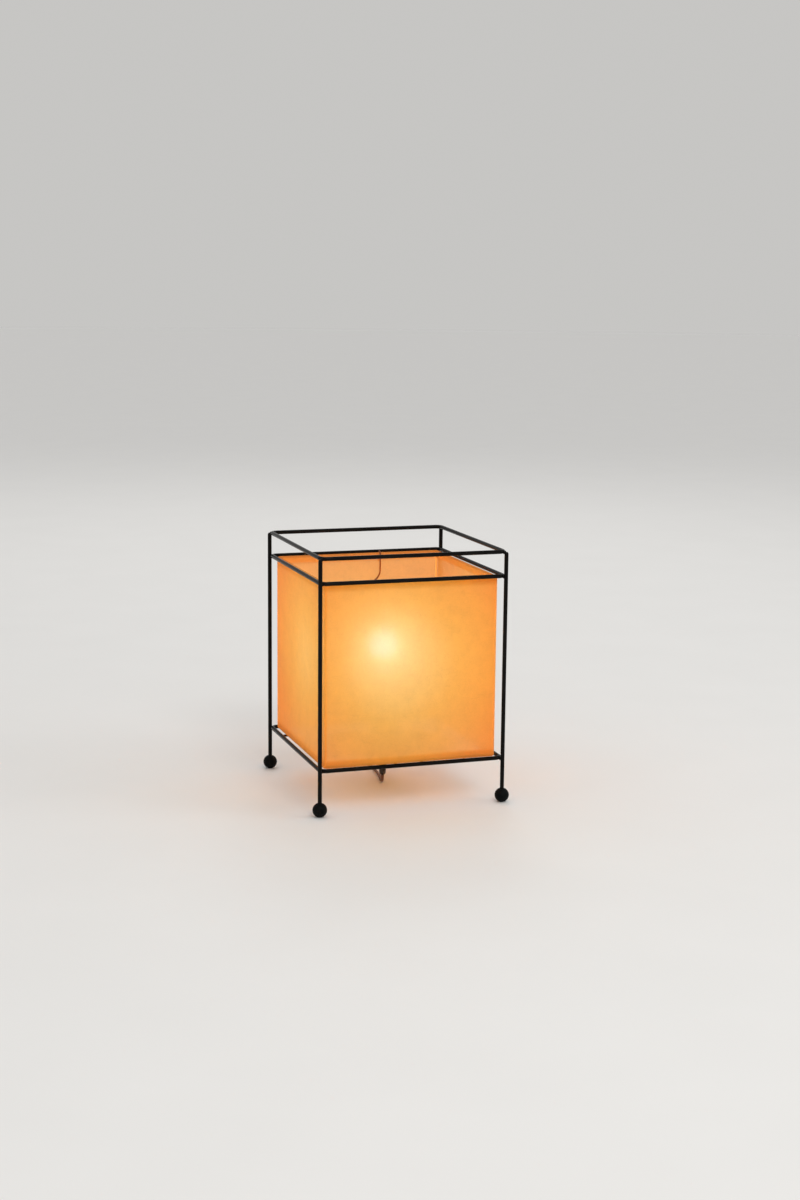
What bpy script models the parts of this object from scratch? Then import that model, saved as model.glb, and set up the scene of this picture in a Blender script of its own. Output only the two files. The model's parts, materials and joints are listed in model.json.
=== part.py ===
"""Rice paper table lamp: a black wire frame on ball feet around a lift-out paper shade.

Lengths are in metres and +Z is up. The front of the lamp faces -Y, and the
origin is on the table under the middle of the frame.
"""
import math

import bmesh
import bpy
import numpy as np
from mathutils import Matrix, Vector

# Fits
CLEARANCE = 0.0003  # gap kept between pieces that touch

# Wire frame
ROD_D = 0.004
POST_SPACING = 0.184  # centre to centre, the same both ways
BASE_HOOP_Z = 0.0436  # middle of the rod above the table
SHADE_HOOP_RISE = 0.1784  # above the base hoop
TOP_HOOP_RISE = 0.0234  # above the shade hoop
HOOP_CORNER_R = 0.006  # bend of the rod's middle line

# Ball feet
BALL_D = 0.014
BALL_FLAT_D = 0.004  # small flat that each ball stands on
BALL_SOCKET_DEPTH = 0.007  # how deep a post goes into its ball

# Paper shade
SHADE_AIR = 0.0022  # between the hoops' inner sides and the paper
SHADE_FOOT_RISE = 0.0006  # paper's lower edge above the middle of the base hoop
SHADE_RIM_DROP = 0.0002  # paper's upper edge below the middle of the shade hoop
SHADE_INNER_CORNER_R = 0.0006  # inside the folded hem
PAPER_T = 0.0005
HEM_DEPTH = 0.007
SHADE_WIRE_D = 0.0018

# Pins on the base hoop that carry the shade
REST_PIN_D = 0.0024
REST_PIN_REACH = 0.0035  # past the outer face of the paper
REST_PIN_OFFSET = 0.055  # from the middle of a side

# Spring clip over the back rim of the shade
CLIP_WIRE_D = 0.0016
CLIP_X = 0.0225
CLIP_LEG_OUT = 0.008
CLIP_LEG_IN = 0.018
CLIP_CURL_R = 0.012
CLIP_TAIL = 0.003

# Lampholder carrier
NUT_ACROSS_FLATS = 0.014
NUT_T = 0.004
BRIDGE_D = 0.0024
BRIDGE_NUT_GAP = 0.004  # from the nut's corners to the bridge rods
PLATE_T = 0.0015
PLATE_LIP = 0.004  # plate past the bridge rods
NIPPLE_D = 0.010
NIPPLE_BORE = 0.007
NIPPLE_BELOW = 0.008  # below the nut
NIPPLE_ABOVE = 0.009  # above the plate

# Cord grip under the nipple
GRIP_LENGTH = 0.0296
GRIP_WALL = 0.0017  # around the nipple
GRIP_HEAD = 0.010
GRIP_TIP_D = 0.0068  # above the rounded end
GRIP_TIP_ROUND = 0.0045  # height of the rounded end
GRIP_RIBS = 4
GRIP_RIB_DEPTH = 0.0005

# Lampholder
HOLDER_WALL = 0.0016
HOLDER_BASE_D = 0.021
HOLDER_BASE_FLOOR = 0.003
HOLDER_BASE_H = 0.018
HOLDER_BASE_FLARE = 0.006  # height of the flare in the base
HOLDER_SKIRT_D = 0.028
HOLDER_SKIRT_H = 0.0405
INSULATOR_LIFT = 0.0095  # above the skirt's lower edge
INSULATOR_STEP = 0.006
INSULATOR_H = 0.012
SHELL_WALL = 0.0006
SHELL_H = 0.016
SHELL_RIDGES = 5
SHELL_RIDGE = 0.0004
CONTACT_D = 0.006
CONTACT_T = 0.0007

# Bulb
BULB_D = 0.045
BULB_LENGTH = 0.078  # from the contact to the crown
BULB_GLASS_T = 0.0008
BULB_NECK_D = 0.0176
BULB_NECK_MEETS = 42  # degrees up the globe where the neck runs into it
CAP_THREAD_D = 0.0139
CAP_THREAD_DEPTH = 0.0007
CAP_RIDGES = 6
CAP_H = 0.018
CAP_COLLAR_D = 0.0166
CAP_COLLAR_H = 0.0024
EYELET_D = 0.0064
EYELET_H = 0.0017
CAP_GLASS_H = 0.003  # insulating glass between the eyelet and the cap
STEM_D = 0.008
STEM_H = 0.014
STEM_HEAD_D = 0.013
STEM_HEAD_H = 0.003
LEAD_SPACING = 0.010
LEAD_H = 0.011
FILAMENT_D = 0.0007
FILAMENT_PEAKS = 3
FILAMENT_RISE = 0.004

# Flex
FLEX_D = 0.003
FLEX_LIFT = 0.0016  # middle of the flex where it lies on the table
FLEX_STEP = FLEX_D  # between the points of a free stretch

# Coil of spare flex
COIL_AT = (0.011, 0.1385)
COIL_MEAN_R = 0.018
COIL_LAYERS = 4
COIL_TURNS = 12.653
COIL_START = 90  # degrees about the middle of the coil
TURN_GAP = 0.0005
CLIMB_TURNS = 0.5
LOOP_POINTS = 24
TIE_T = 0.001
TIE_W = 0.005
TIE_SLACK = 0.0005
TIE_ANGLE = 205

# Switch on the flex
SWITCH_AT = (0.072, 0.114)
SWITCH_LENGTH = 0.054
SWITCH_WIDTH = 0.020
SWITCH_WALL = 0.0016
SWITCH_LOWER_H = 0.008
SWITCH_UPPER_H = 0.008
SWITCH_END_R = 0.007
SWITCH_EDGE = 0.002  # chamfer around the top and the foot
ROCKER_LENGTH = 0.015
ROCKER_WIDTH = 0.009
ROCKER_HEIGHT = 0.0052  # from its pin to its raised ends
ROCKER_DIP = 0.0015  # hollow in the middle of its top
ROCKER_TILT = 11  # degrees each way from level
ROCKER_PIN_D = 0.002
ROCKER_PIN_DROP = 0.0016  # pin's middle below the underside of the lid
STRIP_WIDTH = 0.004
STRIP_T = 0.0008

# Plug
PLUG_BACK = (0.059, 0.142)  # where the flex goes in
PLUG_LENGTH = 0.036
PLUG_WIDTH = 0.026
PLUG_THICKNESS = 0.0135
PLUG_NECK_LENGTH = 0.009
PLUG_NECK_D = 0.0056
PLUG_EDGE_R = 0.004
PLUG_PIN_D = 0.004
PLUG_PIN_LENGTH = 0.019
PLUG_PIN_SPACING = 0.0186

# Way of the flex from the grip down to the table: x, y and the share of the height still to fall
FLEX_DROP = (
    (0.0000, 0.0000, 1.00),
    (0.0000, 0.0002, 0.70),
    (0.0003, 0.0016, 0.36),
    (0.0008, 0.0043, 0.12),
    (0.0015, 0.0080, 0.01),
)

# Routes of the flex, as chosen points
ROUTE_TO_SWITCH = (
    (0.0027, 0.0140, FLEX_LIFT),
    (0.0040, 0.0205, FLEX_LIFT),
    (0.0053, 0.0275, FLEX_LIFT),
    (0.0064, 0.0360, FLEX_LIFT),
    (0.0075, 0.0500, FLEX_LIFT),
    (0.0082, 0.0660, FLEX_LIFT),
    (0.0089, 0.0800, FLEX_LIFT),
    (0.0104, 0.0905, FLEX_LIFT),
    (0.0150, 0.1005, 0.0020),
    (0.0232, 0.1085, 0.0036),
    (0.0330, 0.1128, 0.0064),
    (0.0400, 0.1139, 0.0078),
    (0.0447, 0.1140, 0.0080),
)
ROUTE_TO_COIL = (
    (0.0993, 0.1140, 0.0080),
    (0.1045, 0.1143, 0.0077),
    (0.1135, 0.1175, 0.0056),
    (0.1210, 0.1250, 0.0032),
    (0.1250, 0.1360, 0.0019),
    (0.1232, 0.1480, FLEX_LIFT),
    (0.1160, 0.1575, FLEX_LIFT),
    (0.1050, 0.1622, 0.0017),
    (0.0900, 0.1630, 0.0019),
    (0.0700, 0.1626, 0.0024),
    (0.0500, 0.1622, 0.0028),
    (0.0330, 0.1620, 0.0030),
    (0.0220, 0.1620, 0.0030),
    (0.0143, 0.1620, 0.0030),
)
ROUTE_TO_PLUG = (
    (0.0321, 0.1277, 0.0135),
    (0.0364, 0.1331, 0.0127),
    (0.0420, 0.1381, 0.0105),
    (0.0485, 0.1412, 0.0081),
    (0.0540, 0.1420, 0.0070),
    (0.0587, 0.1420, 0.0068),
)

# How finely round forms are divided
ROUND_SIDES = 20
ROD_SIDES = 10
WIRE_SIDES = 6
CORNER_STEPS = 4
ARC_STEPS = 4
SHARP_ANGLE = math.radians(35)
MERGE = 0.000001

# Places worked out from the sizes above
CORNERS = {
    "front_left": (-1, -1),
    "front_right": (1, -1),
    "back_left": (-1, 1),
    "back_right": (1, 1),
}
DIAGONAL = math.sqrt(2)
POST_AT = POST_SPACING / 2
HOOP_INSET = (ROD_D + CLEARANCE - HOOP_CORNER_R * (DIAGONAL - 1)) / DIAGONAL
HOOP_HALF = POST_AT - HOOP_INSET
HOOP_INNER_HALF = HOOP_HALF - ROD_D / 2
SHADE_HOOP_Z = BASE_HOOP_Z + SHADE_HOOP_RISE
TOP_HOOP_Z = SHADE_HOOP_Z + TOP_HOOP_RISE

SHADE_HALF = HOOP_INNER_HALF - SHADE_AIR
SHADE_FOOT_Z = BASE_HOOP_Z + SHADE_FOOT_RISE
SHADE_RIM_Z = SHADE_HOOP_Z - SHADE_RIM_DROP
FOLD_WIDTH = 2 * PAPER_T + 2 * CLEARANCE + SHADE_WIRE_D
SHADE_CORNER_R = FOLD_WIDTH + SHADE_INNER_CORNER_R

REST_Z = SHADE_FOOT_Z - CLEARANCE
NUT_ACROSS_CORNERS = NUT_ACROSS_FLATS / math.cos(math.pi / 6)
BRIDGE_SPACING = NUT_ACROSS_CORNERS + BRIDGE_D + 2 * BRIDGE_NUT_GAP
PLATE_D = BRIDGE_SPACING + BRIDGE_D + 2 * PLATE_LIP
PLATE_Z = REST_Z + CLEARANCE
NUT_Z = PLATE_Z - CLEARANCE - NUT_T
NIPPLE_Z = NUT_Z - NIPPLE_BELOW
NIPPLE_LENGTH = PLATE_Z + PLATE_T + NIPPLE_ABOVE - NIPPLE_Z
NIPPLE_HOLE_R = NIPPLE_D / 2 + CLEARANCE
GRIP_TOP_Z = NUT_Z - CLEARANCE

HOLDER_Z = PLATE_Z + PLATE_T + CLEARANCE
SKIRT_Z = HOLDER_Z + HOLDER_BASE_H + CLEARANCE
SKIRT_BORE_R = HOLDER_SKIRT_D / 2 - HOLDER_WALL
INSULATOR_Z = SKIRT_Z + INSULATOR_LIFT
SHELL_Z = INSULATOR_Z + INSULATOR_H + CLEARANCE
SHELL_BORE_R = CAP_THREAD_D / 2 + CLEARANCE
BULB_Z = SHELL_Z + CONTACT_T + CLEARANCE
CAP_GLASS_LIFT = EYELET_H + CLEARANCE
CAP_LIFT = CAP_GLASS_LIFT + CAP_GLASS_H + CLEARANCE
GLASS_LIFT = CAP_LIFT + CAP_H + CAP_COLLAR_H + CLEARANCE
STEM_LIFT = GLASS_LIFT + CLEARANCE
LEAD_LIFT = STEM_LIFT + STEM_H + CLEARANCE

TURN_PITCH = FLEX_D + TURN_GAP
TURNS_PER_LAYER = COIL_TURNS / COIL_LAYERS
COIL_OUTER_R = COIL_MEAN_R + TURNS_PER_LAYER * TURN_PITCH / 2
COIL_INNER_R = COIL_MEAN_R - TURNS_PER_LAYER * TURN_PITCH / 2
COIL_Z = TIE_T + TIE_SLACK + FLEX_D / 2

SWITCH_LID_Z = SWITCH_LOWER_H + CLEARANCE
SWITCH_TOP_Z = SWITCH_LID_Z + SWITCH_UPPER_H
ROCKER_PIN_Z = SWITCH_TOP_Z - SWITCH_WALL - ROCKER_PIN_DROP
ROCKER_REACH = math.hypot(ROCKER_LENGTH / 2, ROCKER_HEIGHT)


def clear_scene():
    """Start from an empty scene."""
    for old in list(bpy.data.objects):
        bpy.data.objects.remove(old)


def finish(name, colour, roughness, metallic=0.0):
    """A plain material of one colour."""
    material = bpy.data.materials.new(name)
    material.use_nodes = True
    shader = material.node_tree.nodes["Principled BSDF"]
    shader.inputs["Base Color"].default_value = (*colour, 1)
    shader.inputs["Roughness"].default_value = roughness
    shader.inputs["Metallic"].default_value = metallic
    return material


def make_finishes():
    """Every material of the lamp, by name."""
    return {
        "black_lacquer": finish("black_lacquer", (0.012, 0.012, 0.012), 0.3),
        "ball_black": finish("ball_black", (0.01, 0.011, 0.011), 0.45),
        "rice_paper": finish("rice_paper", (0.6, 0.33, 0.12), 0.9),
        "shade_wire": finish("shade_wire", (0.5, 0.42, 0.3), 0.45, 1.0),
        "copper_wash": finish("copper_wash", (0.46, 0.17, 0.075), 0.4, 1.0),
        "zinc": finish("zinc", (0.62, 0.62, 0.6), 0.4, 1.0),
        "brass": finish("brass", (0.72, 0.52, 0.22), 0.35, 1.0),
        "bakelite": finish("bakelite", (0.03, 0.022, 0.018), 0.35),
        "cream_plastic": finish("cream_plastic", (0.75, 0.68, 0.55), 0.35),
        "steatite": finish("steatite", (0.8, 0.77, 0.7), 0.6),
        "opal_glass": finish("opal_glass", (0.95, 0.9, 0.8), 0.25),
        "clear_glass": finish("clear_glass", (0.85, 0.88, 0.87), 0.1),
        "tungsten": finish("tungsten", (0.3, 0.29, 0.28), 0.4, 1.0),
        "brown_flex": finish("brown_flex", (0.2, 0.075, 0.03), 0.5),
        "brown_plastic": finish("brown_plastic", (0.13, 0.05, 0.022), 0.4),
    }


def mesh_from(shape):
    """Close a bmesh into a mesh with outward faces, smooth except at its sharp edges."""
    bmesh.ops.remove_doubles(shape, verts=shape.verts, dist=MERGE)
    bmesh.ops.recalc_face_normals(shape, faces=shape.faces)
    mesh = bpy.data.meshes.new("form")
    shape.to_mesh(mesh)
    shape.free()
    mesh.shade_smooth()
    mesh.set_sharp_from_angle(angle=SHARP_ANGLE)
    return mesh


def turned(profile, closed=False, sides=ROUND_SIDES):
    """A mesh turned about Z from (radius, height) points."""
    shape = bmesh.new()
    points = [shape.verts.new((radius, 0, height)) for radius, height in profile]
    following = points[1:] + points[:1] if closed else points[1:]
    edges = [shape.edges.new(pair) for pair in zip(points, following)]
    bmesh.ops.spin(
        shape,
        geom=points + edges,
        cent=(0, 0, 0),
        axis=(0, 0, 1),
        angle=math.tau,
        steps=sides,
        use_merge=True,
    )
    return mesh_from(shape)


def lofted(rings, closed=False):
    """A mesh through rings of equally many points, capped at both ends or closed on itself."""
    shape = bmesh.new()
    loops = [[shape.verts.new(point) for point in ring] for ring in rings]
    following = loops[1:] + loops[:1] if closed else loops[1:]
    for here, there in zip(loops, following):
        for i in range(len(here)):
            shape.faces.new((here[i - 1], here[i], there[i], there[i - 1]))
    if not closed:
        shape.faces.new(loops[0])
        shape.faces.new(loops[-1])
    return mesh_from(shape)


def swept_square(half, corner_r, section):
    """A section of (outward, height) points carried around a square with round corners."""
    rings = []
    for quarter, (side_x, side_y) in enumerate(((1, 1), (-1, 1), (-1, -1), (1, -1))):
        middle = Vector((side_x, side_y, 0)) * (half - corner_r)
        for step in range(CORNER_STEPS + 1):
            turn = (quarter + step / CORNER_STEPS) * math.pi / 2
            outward = Vector((math.cos(turn), math.sin(turn), 0))
            rings.append([middle + outward * (corner_r + out) + Vector((0, 0, up)) for out, up in section])
    return lofted(rings, closed=True)


def add(name, form, material, place=(0, 0, 0), turn=(0, 0, 0), parent=None):
    """Put a mesh or curve into the scene as one named piece."""
    form.name = name
    form.materials.append(material)
    piece = bpy.data.objects.new(name, form)
    piece.location = place
    piece.rotation_euler = turn
    piece.parent = parent
    bpy.context.collection.objects.link(piece)
    return piece


def axis_empty(name, place, parent=None):
    """An empty that carries the pieces of one group."""
    empty = bpy.data.objects.new(name, None)
    empty.location = place
    empty.parent = parent
    bpy.context.collection.objects.link(empty)
    return empty


def arc(middle, radius, start, end, steps=ARC_STEPS):
    """Points on an arc, with its angles in degrees."""
    turns = [math.radians(start + (end - start) * step / steps) for step in range(steps + 1)]
    return [(middle[0] + radius * math.cos(turn), middle[1] + radius * math.sin(turn)) for turn in turns]


def circle(middle, radius, sides):
    """The corners of a round section."""
    return arc(middle, radius, 0, 360, sides)[:-1]


def rod(diameter, length, sides=ROD_SIDES):
    """A straight round bar that stands on the origin."""
    radius = diameter / 2
    return turned([(0, 0), (radius, 0), (radius, length), (0, length)], sides=sides)


def rounded_rectangle(length, width, radius, level):
    """A flat ring of points with round corners, at one height."""
    ring = []
    for quarter, (side_x, side_y) in enumerate(((1, 1), (-1, 1), (-1, -1), (1, -1))):
        middle = (side_x * (length / 2 - radius), side_y * (width / 2 - radius))
        ring += arc(middle, radius, 90 * quarter, 90 * quarter + 90)
    return [(x, y, level) for x, y in ring]


def tube(name, points, diameter, resolution, material, parent):
    """A round tube with capped ends along a line of points."""
    curve = bpy.data.curves.new(name, "CURVE")
    curve.dimensions = "3D"
    curve.bevel_depth = diameter / 2
    curve.bevel_resolution = resolution
    curve.use_fill_caps = True
    spline = curve.splines.new("POLY")
    spline.points.add(len(points) - 1)
    for spot, point in zip(spline.points, points):
        spot.co = (*point, 1)
    return add(name, curve, material, parent=parent)


def smooth_route(points, step):
    """Points about one step apart on a smooth curve through the chosen ones."""
    chosen = np.array(points)
    chords = np.linalg.norm(np.diff(chosen, axis=0), axis=1)
    slopes = np.gradient(chosen, np.concatenate(([0], np.cumsum(chords))), axis=0)
    share = np.linspace(0, 1, 24, endpoint=False)[:, None]
    spans = []
    for i, chord in enumerate(chords):
        rise = chosen[i + 1] - chosen[i]
        start_bend = slopes[i] * chord - rise
        end_bend = rise - slopes[i + 1] * chord
        bend = share * (1 - share) * ((1 - share) * start_bend + share * end_bend)
        spans.append(chosen[i] + share * rise + bend)
    line = np.concatenate(spans + [chosen[-1:]])
    return evenly_spaced(line, step)


def evenly_spaced(line, step):
    """The same line with its points about one step apart."""
    along = np.concatenate(([0], np.cumsum(np.linalg.norm(np.diff(line, axis=0), axis=1))))
    marks = np.linspace(0, along[-1], max(2, round(along[-1] / step) + 1))
    return np.stack([np.interp(marks, along, line[:, k]) for k in range(3)], axis=1)


def line_length(line):
    """How long a line of points is."""
    return float(np.linalg.norm(np.diff(line, axis=0), axis=1).sum())


def build_frame(lamp, finishes):
    """Posts, hoops and the ball feet."""
    black = finishes["black_lacquer"]
    ball_r = BALL_D / 2
    flat_r = BALL_FLAT_D / 2
    socket_r = ROD_D / 2 + CLEARANCE
    ball_z = math.sqrt(ball_r ** 2 - flat_r ** 2)
    socket_top = ball_z + math.sqrt(ball_r ** 2 - socket_r ** 2)
    socket_floor = socket_top - BALL_SOCKET_DEPTH
    flat_turn = -math.degrees(math.acos(flat_r / ball_r))
    rim_turn = math.degrees(math.acos(socket_r / ball_r))
    ball = turned(
        [(0, 0)]
        + arc((0, ball_z), ball_r, flat_turn, rim_turn, 2 * ARC_STEPS)
        + [(socket_r, socket_floor), (0, socket_floor)]
    )
    post_z = socket_floor + CLEARANCE
    post_length = TOP_HOOP_Z - post_z
    dome = arc((0, post_length - ROD_D / 2), ROD_D / 2, 0, 90)
    post = turned([(0, 0), (ROD_D / 2, 0)] + dome[:-1] + [(0, post_length)], sides=ROD_SIDES)
    for corner, (side_x, side_y) in CORNERS.items():
        at = (side_x * POST_AT, side_y * POST_AT)
        add(f"ball_foot_{corner}", ball.copy(), finishes["ball_black"], (*at, 0), parent=lamp)
        add(f"post_{corner}", post.copy(), black, (*at, post_z), parent=lamp)
    hoop = swept_square(HOOP_HALF, HOOP_CORNER_R, circle((0, 0), ROD_D / 2, ROD_SIDES))
    for name, height in (("base", BASE_HOOP_Z), ("shade", SHADE_HOOP_Z), ("top", TOP_HOOP_Z)):
        add(f"{name}_hoop", hoop.copy(), black, (0, 0, height), parent=lamp)


def build_shade_rests(lamp, finishes):
    """Four pins inside the base hoop, one on each side, that the shade stands on."""
    reach = SHADE_AIR + REST_PIN_REACH - CLEARANCE
    pin = rod(REST_PIN_D, reach)
    pin.transform(Matrix.Rotation(math.pi / 2, 4, "X"))
    for quarter, side in enumerate(("back", "left", "front", "right")):
        offset = REST_PIN_OFFSET if side in ("left", "right") else -REST_PIN_OFFSET
        placed = pin.copy()
        placed.transform(Matrix.Translation((offset, HOOP_INNER_HALF - CLEARANCE, REST_Z - REST_PIN_D / 2)))
        turn = (0, 0, math.pi / 2 * quarter)
        add(f"rest_pin_{side}", placed, finishes["black_lacquer"], turn=turn, parent=lamp)


def build_shade(lamp, finishes):
    """The paper with its hems, the wires inside it and the spring clip, all lifting out together."""
    shade = axis_empty("shade_lift_axis", (0, 0, SHADE_FOOT_Z), lamp)
    height = SHADE_RIM_Z - SHADE_FOOT_Z
    fold_r = FOLD_WIDTH / 2
    inner_r = fold_r - PAPER_T
    low, high = (-fold_r, fold_r), (-fold_r, height - fold_r)
    profile = (
        arc(high, fold_r, 0, 180)
        + [(-FOLD_WIDTH, height - HEM_DEPTH), (PAPER_T - FOLD_WIDTH, height - HEM_DEPTH)]
        + arc(high, inner_r, 180, 0)
        + arc(low, inner_r, 0, -180)
        + [(PAPER_T - FOLD_WIDTH, HEM_DEPTH), (-FOLD_WIDTH, HEM_DEPTH)]
        + arc(low, fold_r, -180, 0)
    )
    paper = swept_square(SHADE_HALF, SHADE_CORNER_R, profile)
    add("shade_paper", paper, finishes["rice_paper"], parent=shade)

    wire = finishes["shade_wire"]
    for name, middle in (("bottom", low), ("top", high)):
        ring = swept_square(SHADE_HALF, SHADE_CORNER_R, circle(middle, SHADE_WIRE_D / 2, WIRE_SIDES))
        add(f"shade_ring_{name}", ring, wire, parent=shade)
    end_gap = fold_r + SHADE_WIRE_D / 2 + CLEARANCE
    upright = rod(SHADE_WIRE_D, height - 2 * end_gap, WIRE_SIDES)
    upright_at = SHADE_HALF - SHADE_CORNER_R + (SHADE_CORNER_R - fold_r) / DIAGONAL
    for corner, (side_x, side_y) in CORNERS.items():
        place = (side_x * upright_at, side_y * upright_at, end_gap)
        add(f"shade_upright_{corner}", upright.copy(), finishes["rice_paper"], place, parent=shade)
    build_clip(shade, height, finishes["copper_wash"])


def build_clip(shade, height, material):
    """A wire over the back rim: a short leg against the hoop, a long one inside with a curled end."""
    outer_y = HOOP_INNER_HALF - CLEARANCE - CLIP_WIRE_D / 2
    inner_y = SHADE_HALF - FOLD_WIDTH - CLEARANCE - CLIP_WIRE_D / 2
    bend_r = (outer_y - inner_y) / 2
    bend_z = height - FOLD_WIDTH / 2
    over = arc((inner_y + bend_r, bend_z), bend_r, 0, 180, 2 * ARC_STEPS)
    curl_z = height - CLIP_LEG_IN
    curl = arc((CLIP_X - CLIP_CURL_R, curl_z), CLIP_CURL_R, 0, -90, 2 * ARC_STEPS)
    line = [(CLIP_X, outer_y, bend_z - CLIP_LEG_OUT)]
    line += [(CLIP_X, y, z) for y, z in over]
    line += [(x, inner_y, z) for x, z in curl]
    line += [(CLIP_X - CLIP_CURL_R - CLIP_TAIL, inner_y, curl_z - CLIP_CURL_R)]
    tube("shade_clip", line, CLIP_WIRE_D, 2, material, shade)


def build_carrier(lamp, finishes):
    """The bridge rods, plate, threaded nipple and nut that carry the lampholder, and the cord grip."""
    black = finishes["black_lacquer"]
    length = 2 * (HOOP_INNER_HALF - CLEARANCE)
    bridge = rod(BRIDGE_D, length)
    bridge.transform(Matrix.Rotation(-math.pi / 2, 4, "X"))
    for name, side in (("left", -1), ("right", 1)):
        place = (side * BRIDGE_SPACING / 2, -length / 2, REST_Z - BRIDGE_D / 2)
        add(f"bridge_rod_{name}", bridge.copy(), black, place, parent=lamp)

    plate = [(NIPPLE_HOLE_R, 0), (PLATE_D / 2, 0), (PLATE_D / 2, PLATE_T), (NIPPLE_HOLE_R, PLATE_T)]
    add("holder_plate", turned(plate, closed=True), black, (0, 0, PLATE_Z), parent=lamp)
    nipple = [
        (NIPPLE_BORE / 2, 0),
        (NIPPLE_D / 2, 0),
        (NIPPLE_D / 2, NIPPLE_LENGTH),
        (NIPPLE_BORE / 2, NIPPLE_LENGTH),
    ]
    add("threaded_nipple", turned(nipple, closed=True), finishes["zinc"], (0, 0, NIPPLE_Z), parent=lamp)
    add("lock_nut", hexagon_nut(), finishes["zinc"], (0, 0, NUT_Z), parent=lamp)
    build_grip(lamp, finishes["bakelite"])


def hexagon_nut():
    """A six-sided nut with a round hole, standing on the origin."""
    sides = 24
    hole = circle((0, 0), NIPPLE_HOLE_R, sides)
    outside = []
    for x, y in circle((0, 0), 1, sides):
        from_flat = math.atan2(y, x) % (math.pi / 3) - math.pi / 6
        reach = NUT_ACROSS_FLATS / 2 / math.cos(from_flat)
        outside.append((x * reach, y * reach))
    levels = ((hole, 0), (outside, 0), (outside, NUT_T), (hole, NUT_T))
    return lofted([[(x, y, z) for x, y in ring] for ring, z in levels], closed=True)


def build_grip(lamp, material):
    """A ribbed taper that screws on the nipple and lets the flex out at its rounded tip."""
    head_r = NIPPLE_HOLE_R + GRIP_WALL
    tip_r = GRIP_TIP_D / 2
    mouth_r = FLEX_D / 2 + CLEARANCE
    socket_floor = GRIP_LENGTH - (GRIP_TOP_Z - NIPPLE_Z) - CLEARANCE
    shoulder = GRIP_LENGTH - GRIP_HEAD
    profile = [(0, 0)]
    for across, up in arc((0, 1), 1, -90, 0):
        profile.append((mouth_r + (tip_r - mouth_r) * across, GRIP_TIP_ROUND * up))
    for rib in range(GRIP_RIBS):
        for share, depth in ((0.35, 0), (0.4, GRIP_RIB_DEPTH), (0.75, GRIP_RIB_DEPTH), (0.8, 0)):
            along = (rib + share) / GRIP_RIBS
            radius = tip_r + (head_r - tip_r) * along ** 1.3
            height = GRIP_TIP_ROUND + (shoulder - GRIP_TIP_ROUND) * along
            profile.append((radius - depth, height))
    profile += [(head_r, shoulder), (head_r, GRIP_LENGTH), (NIPPLE_HOLE_R, GRIP_LENGTH)]
    profile += [(NIPPLE_HOLE_R, socket_floor), (0, socket_floor)]
    add("cord_grip", turned(profile), material, (0, 0, GRIP_TOP_Z - GRIP_LENGTH), parent=lamp)


def build_holder(lamp, finishes):
    """The lampholder: base, skirt, insulator, screw shell and centre contact."""
    cream = finishes["cream_plastic"]
    base_r, skirt_r = HOLDER_BASE_D / 2, HOLDER_SKIRT_D / 2
    flare_z = HOLDER_BASE_FLOOR + HOLDER_BASE_FLARE
    base = [
        (NIPPLE_HOLE_R, 0),
        (base_r, 0),
        (base_r, HOLDER_BASE_FLOOR),
        (skirt_r, flare_z),
        (skirt_r, HOLDER_BASE_H),
        (SKIRT_BORE_R, HOLDER_BASE_H),
        (SKIRT_BORE_R, flare_z + HOLDER_WALL),
        (base_r - HOLDER_WALL, HOLDER_BASE_FLOOR + HOLDER_WALL),
        (base_r - HOLDER_WALL, HOLDER_BASE_FLOOR),
        (NIPPLE_HOLE_R, HOLDER_BASE_FLOOR),
    ]
    add("holder_base", turned(base, closed=True), cream, (0, 0, HOLDER_Z), parent=lamp)
    skirt = [(SKIRT_BORE_R, 0), (skirt_r, 0)]
    skirt += [(skirt_r, HOLDER_SKIRT_H), (SKIRT_BORE_R, HOLDER_SKIRT_H)]
    add("holder_skirt", turned(skirt, closed=True), cream, (0, 0, SKIRT_Z), parent=lamp)

    disc_r = SKIRT_BORE_R - CLEARANCE
    seat_r = SHELL_BORE_R + SHELL_WALL + SHELL_RIDGE
    insulator = [(0, 0), (disc_r, 0), (disc_r, INSULATOR_STEP), (seat_r, INSULATOR_STEP)]
    insulator += [(seat_r, INSULATOR_H), (0, INSULATOR_H)]
    add("holder_insulator", turned(insulator), finishes["steatite"], (0, 0, INSULATOR_Z), parent=lamp)

    wall_r = SHELL_BORE_R + SHELL_WALL
    shell = [(SHELL_BORE_R, SHELL_H), (SHELL_BORE_R, 0)]
    for ridge in range(SHELL_RIDGES):
        shell += [(wall_r, SHELL_H * (ridge + 0.15) / SHELL_RIDGES)]
        shell += [(wall_r + SHELL_RIDGE, SHELL_H * (ridge + 0.5) / SHELL_RIDGES)]
        shell += [(wall_r, SHELL_H * (ridge + 0.85) / SHELL_RIDGES)]
    add("screw_shell", turned(shell, closed=True), finishes["brass"], (0, 0, SHELL_Z), parent=lamp)
    add("centre_contact", rod(CONTACT_D, CONTACT_T), finishes["brass"], (0, 0, SHELL_Z), parent=lamp)


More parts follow.
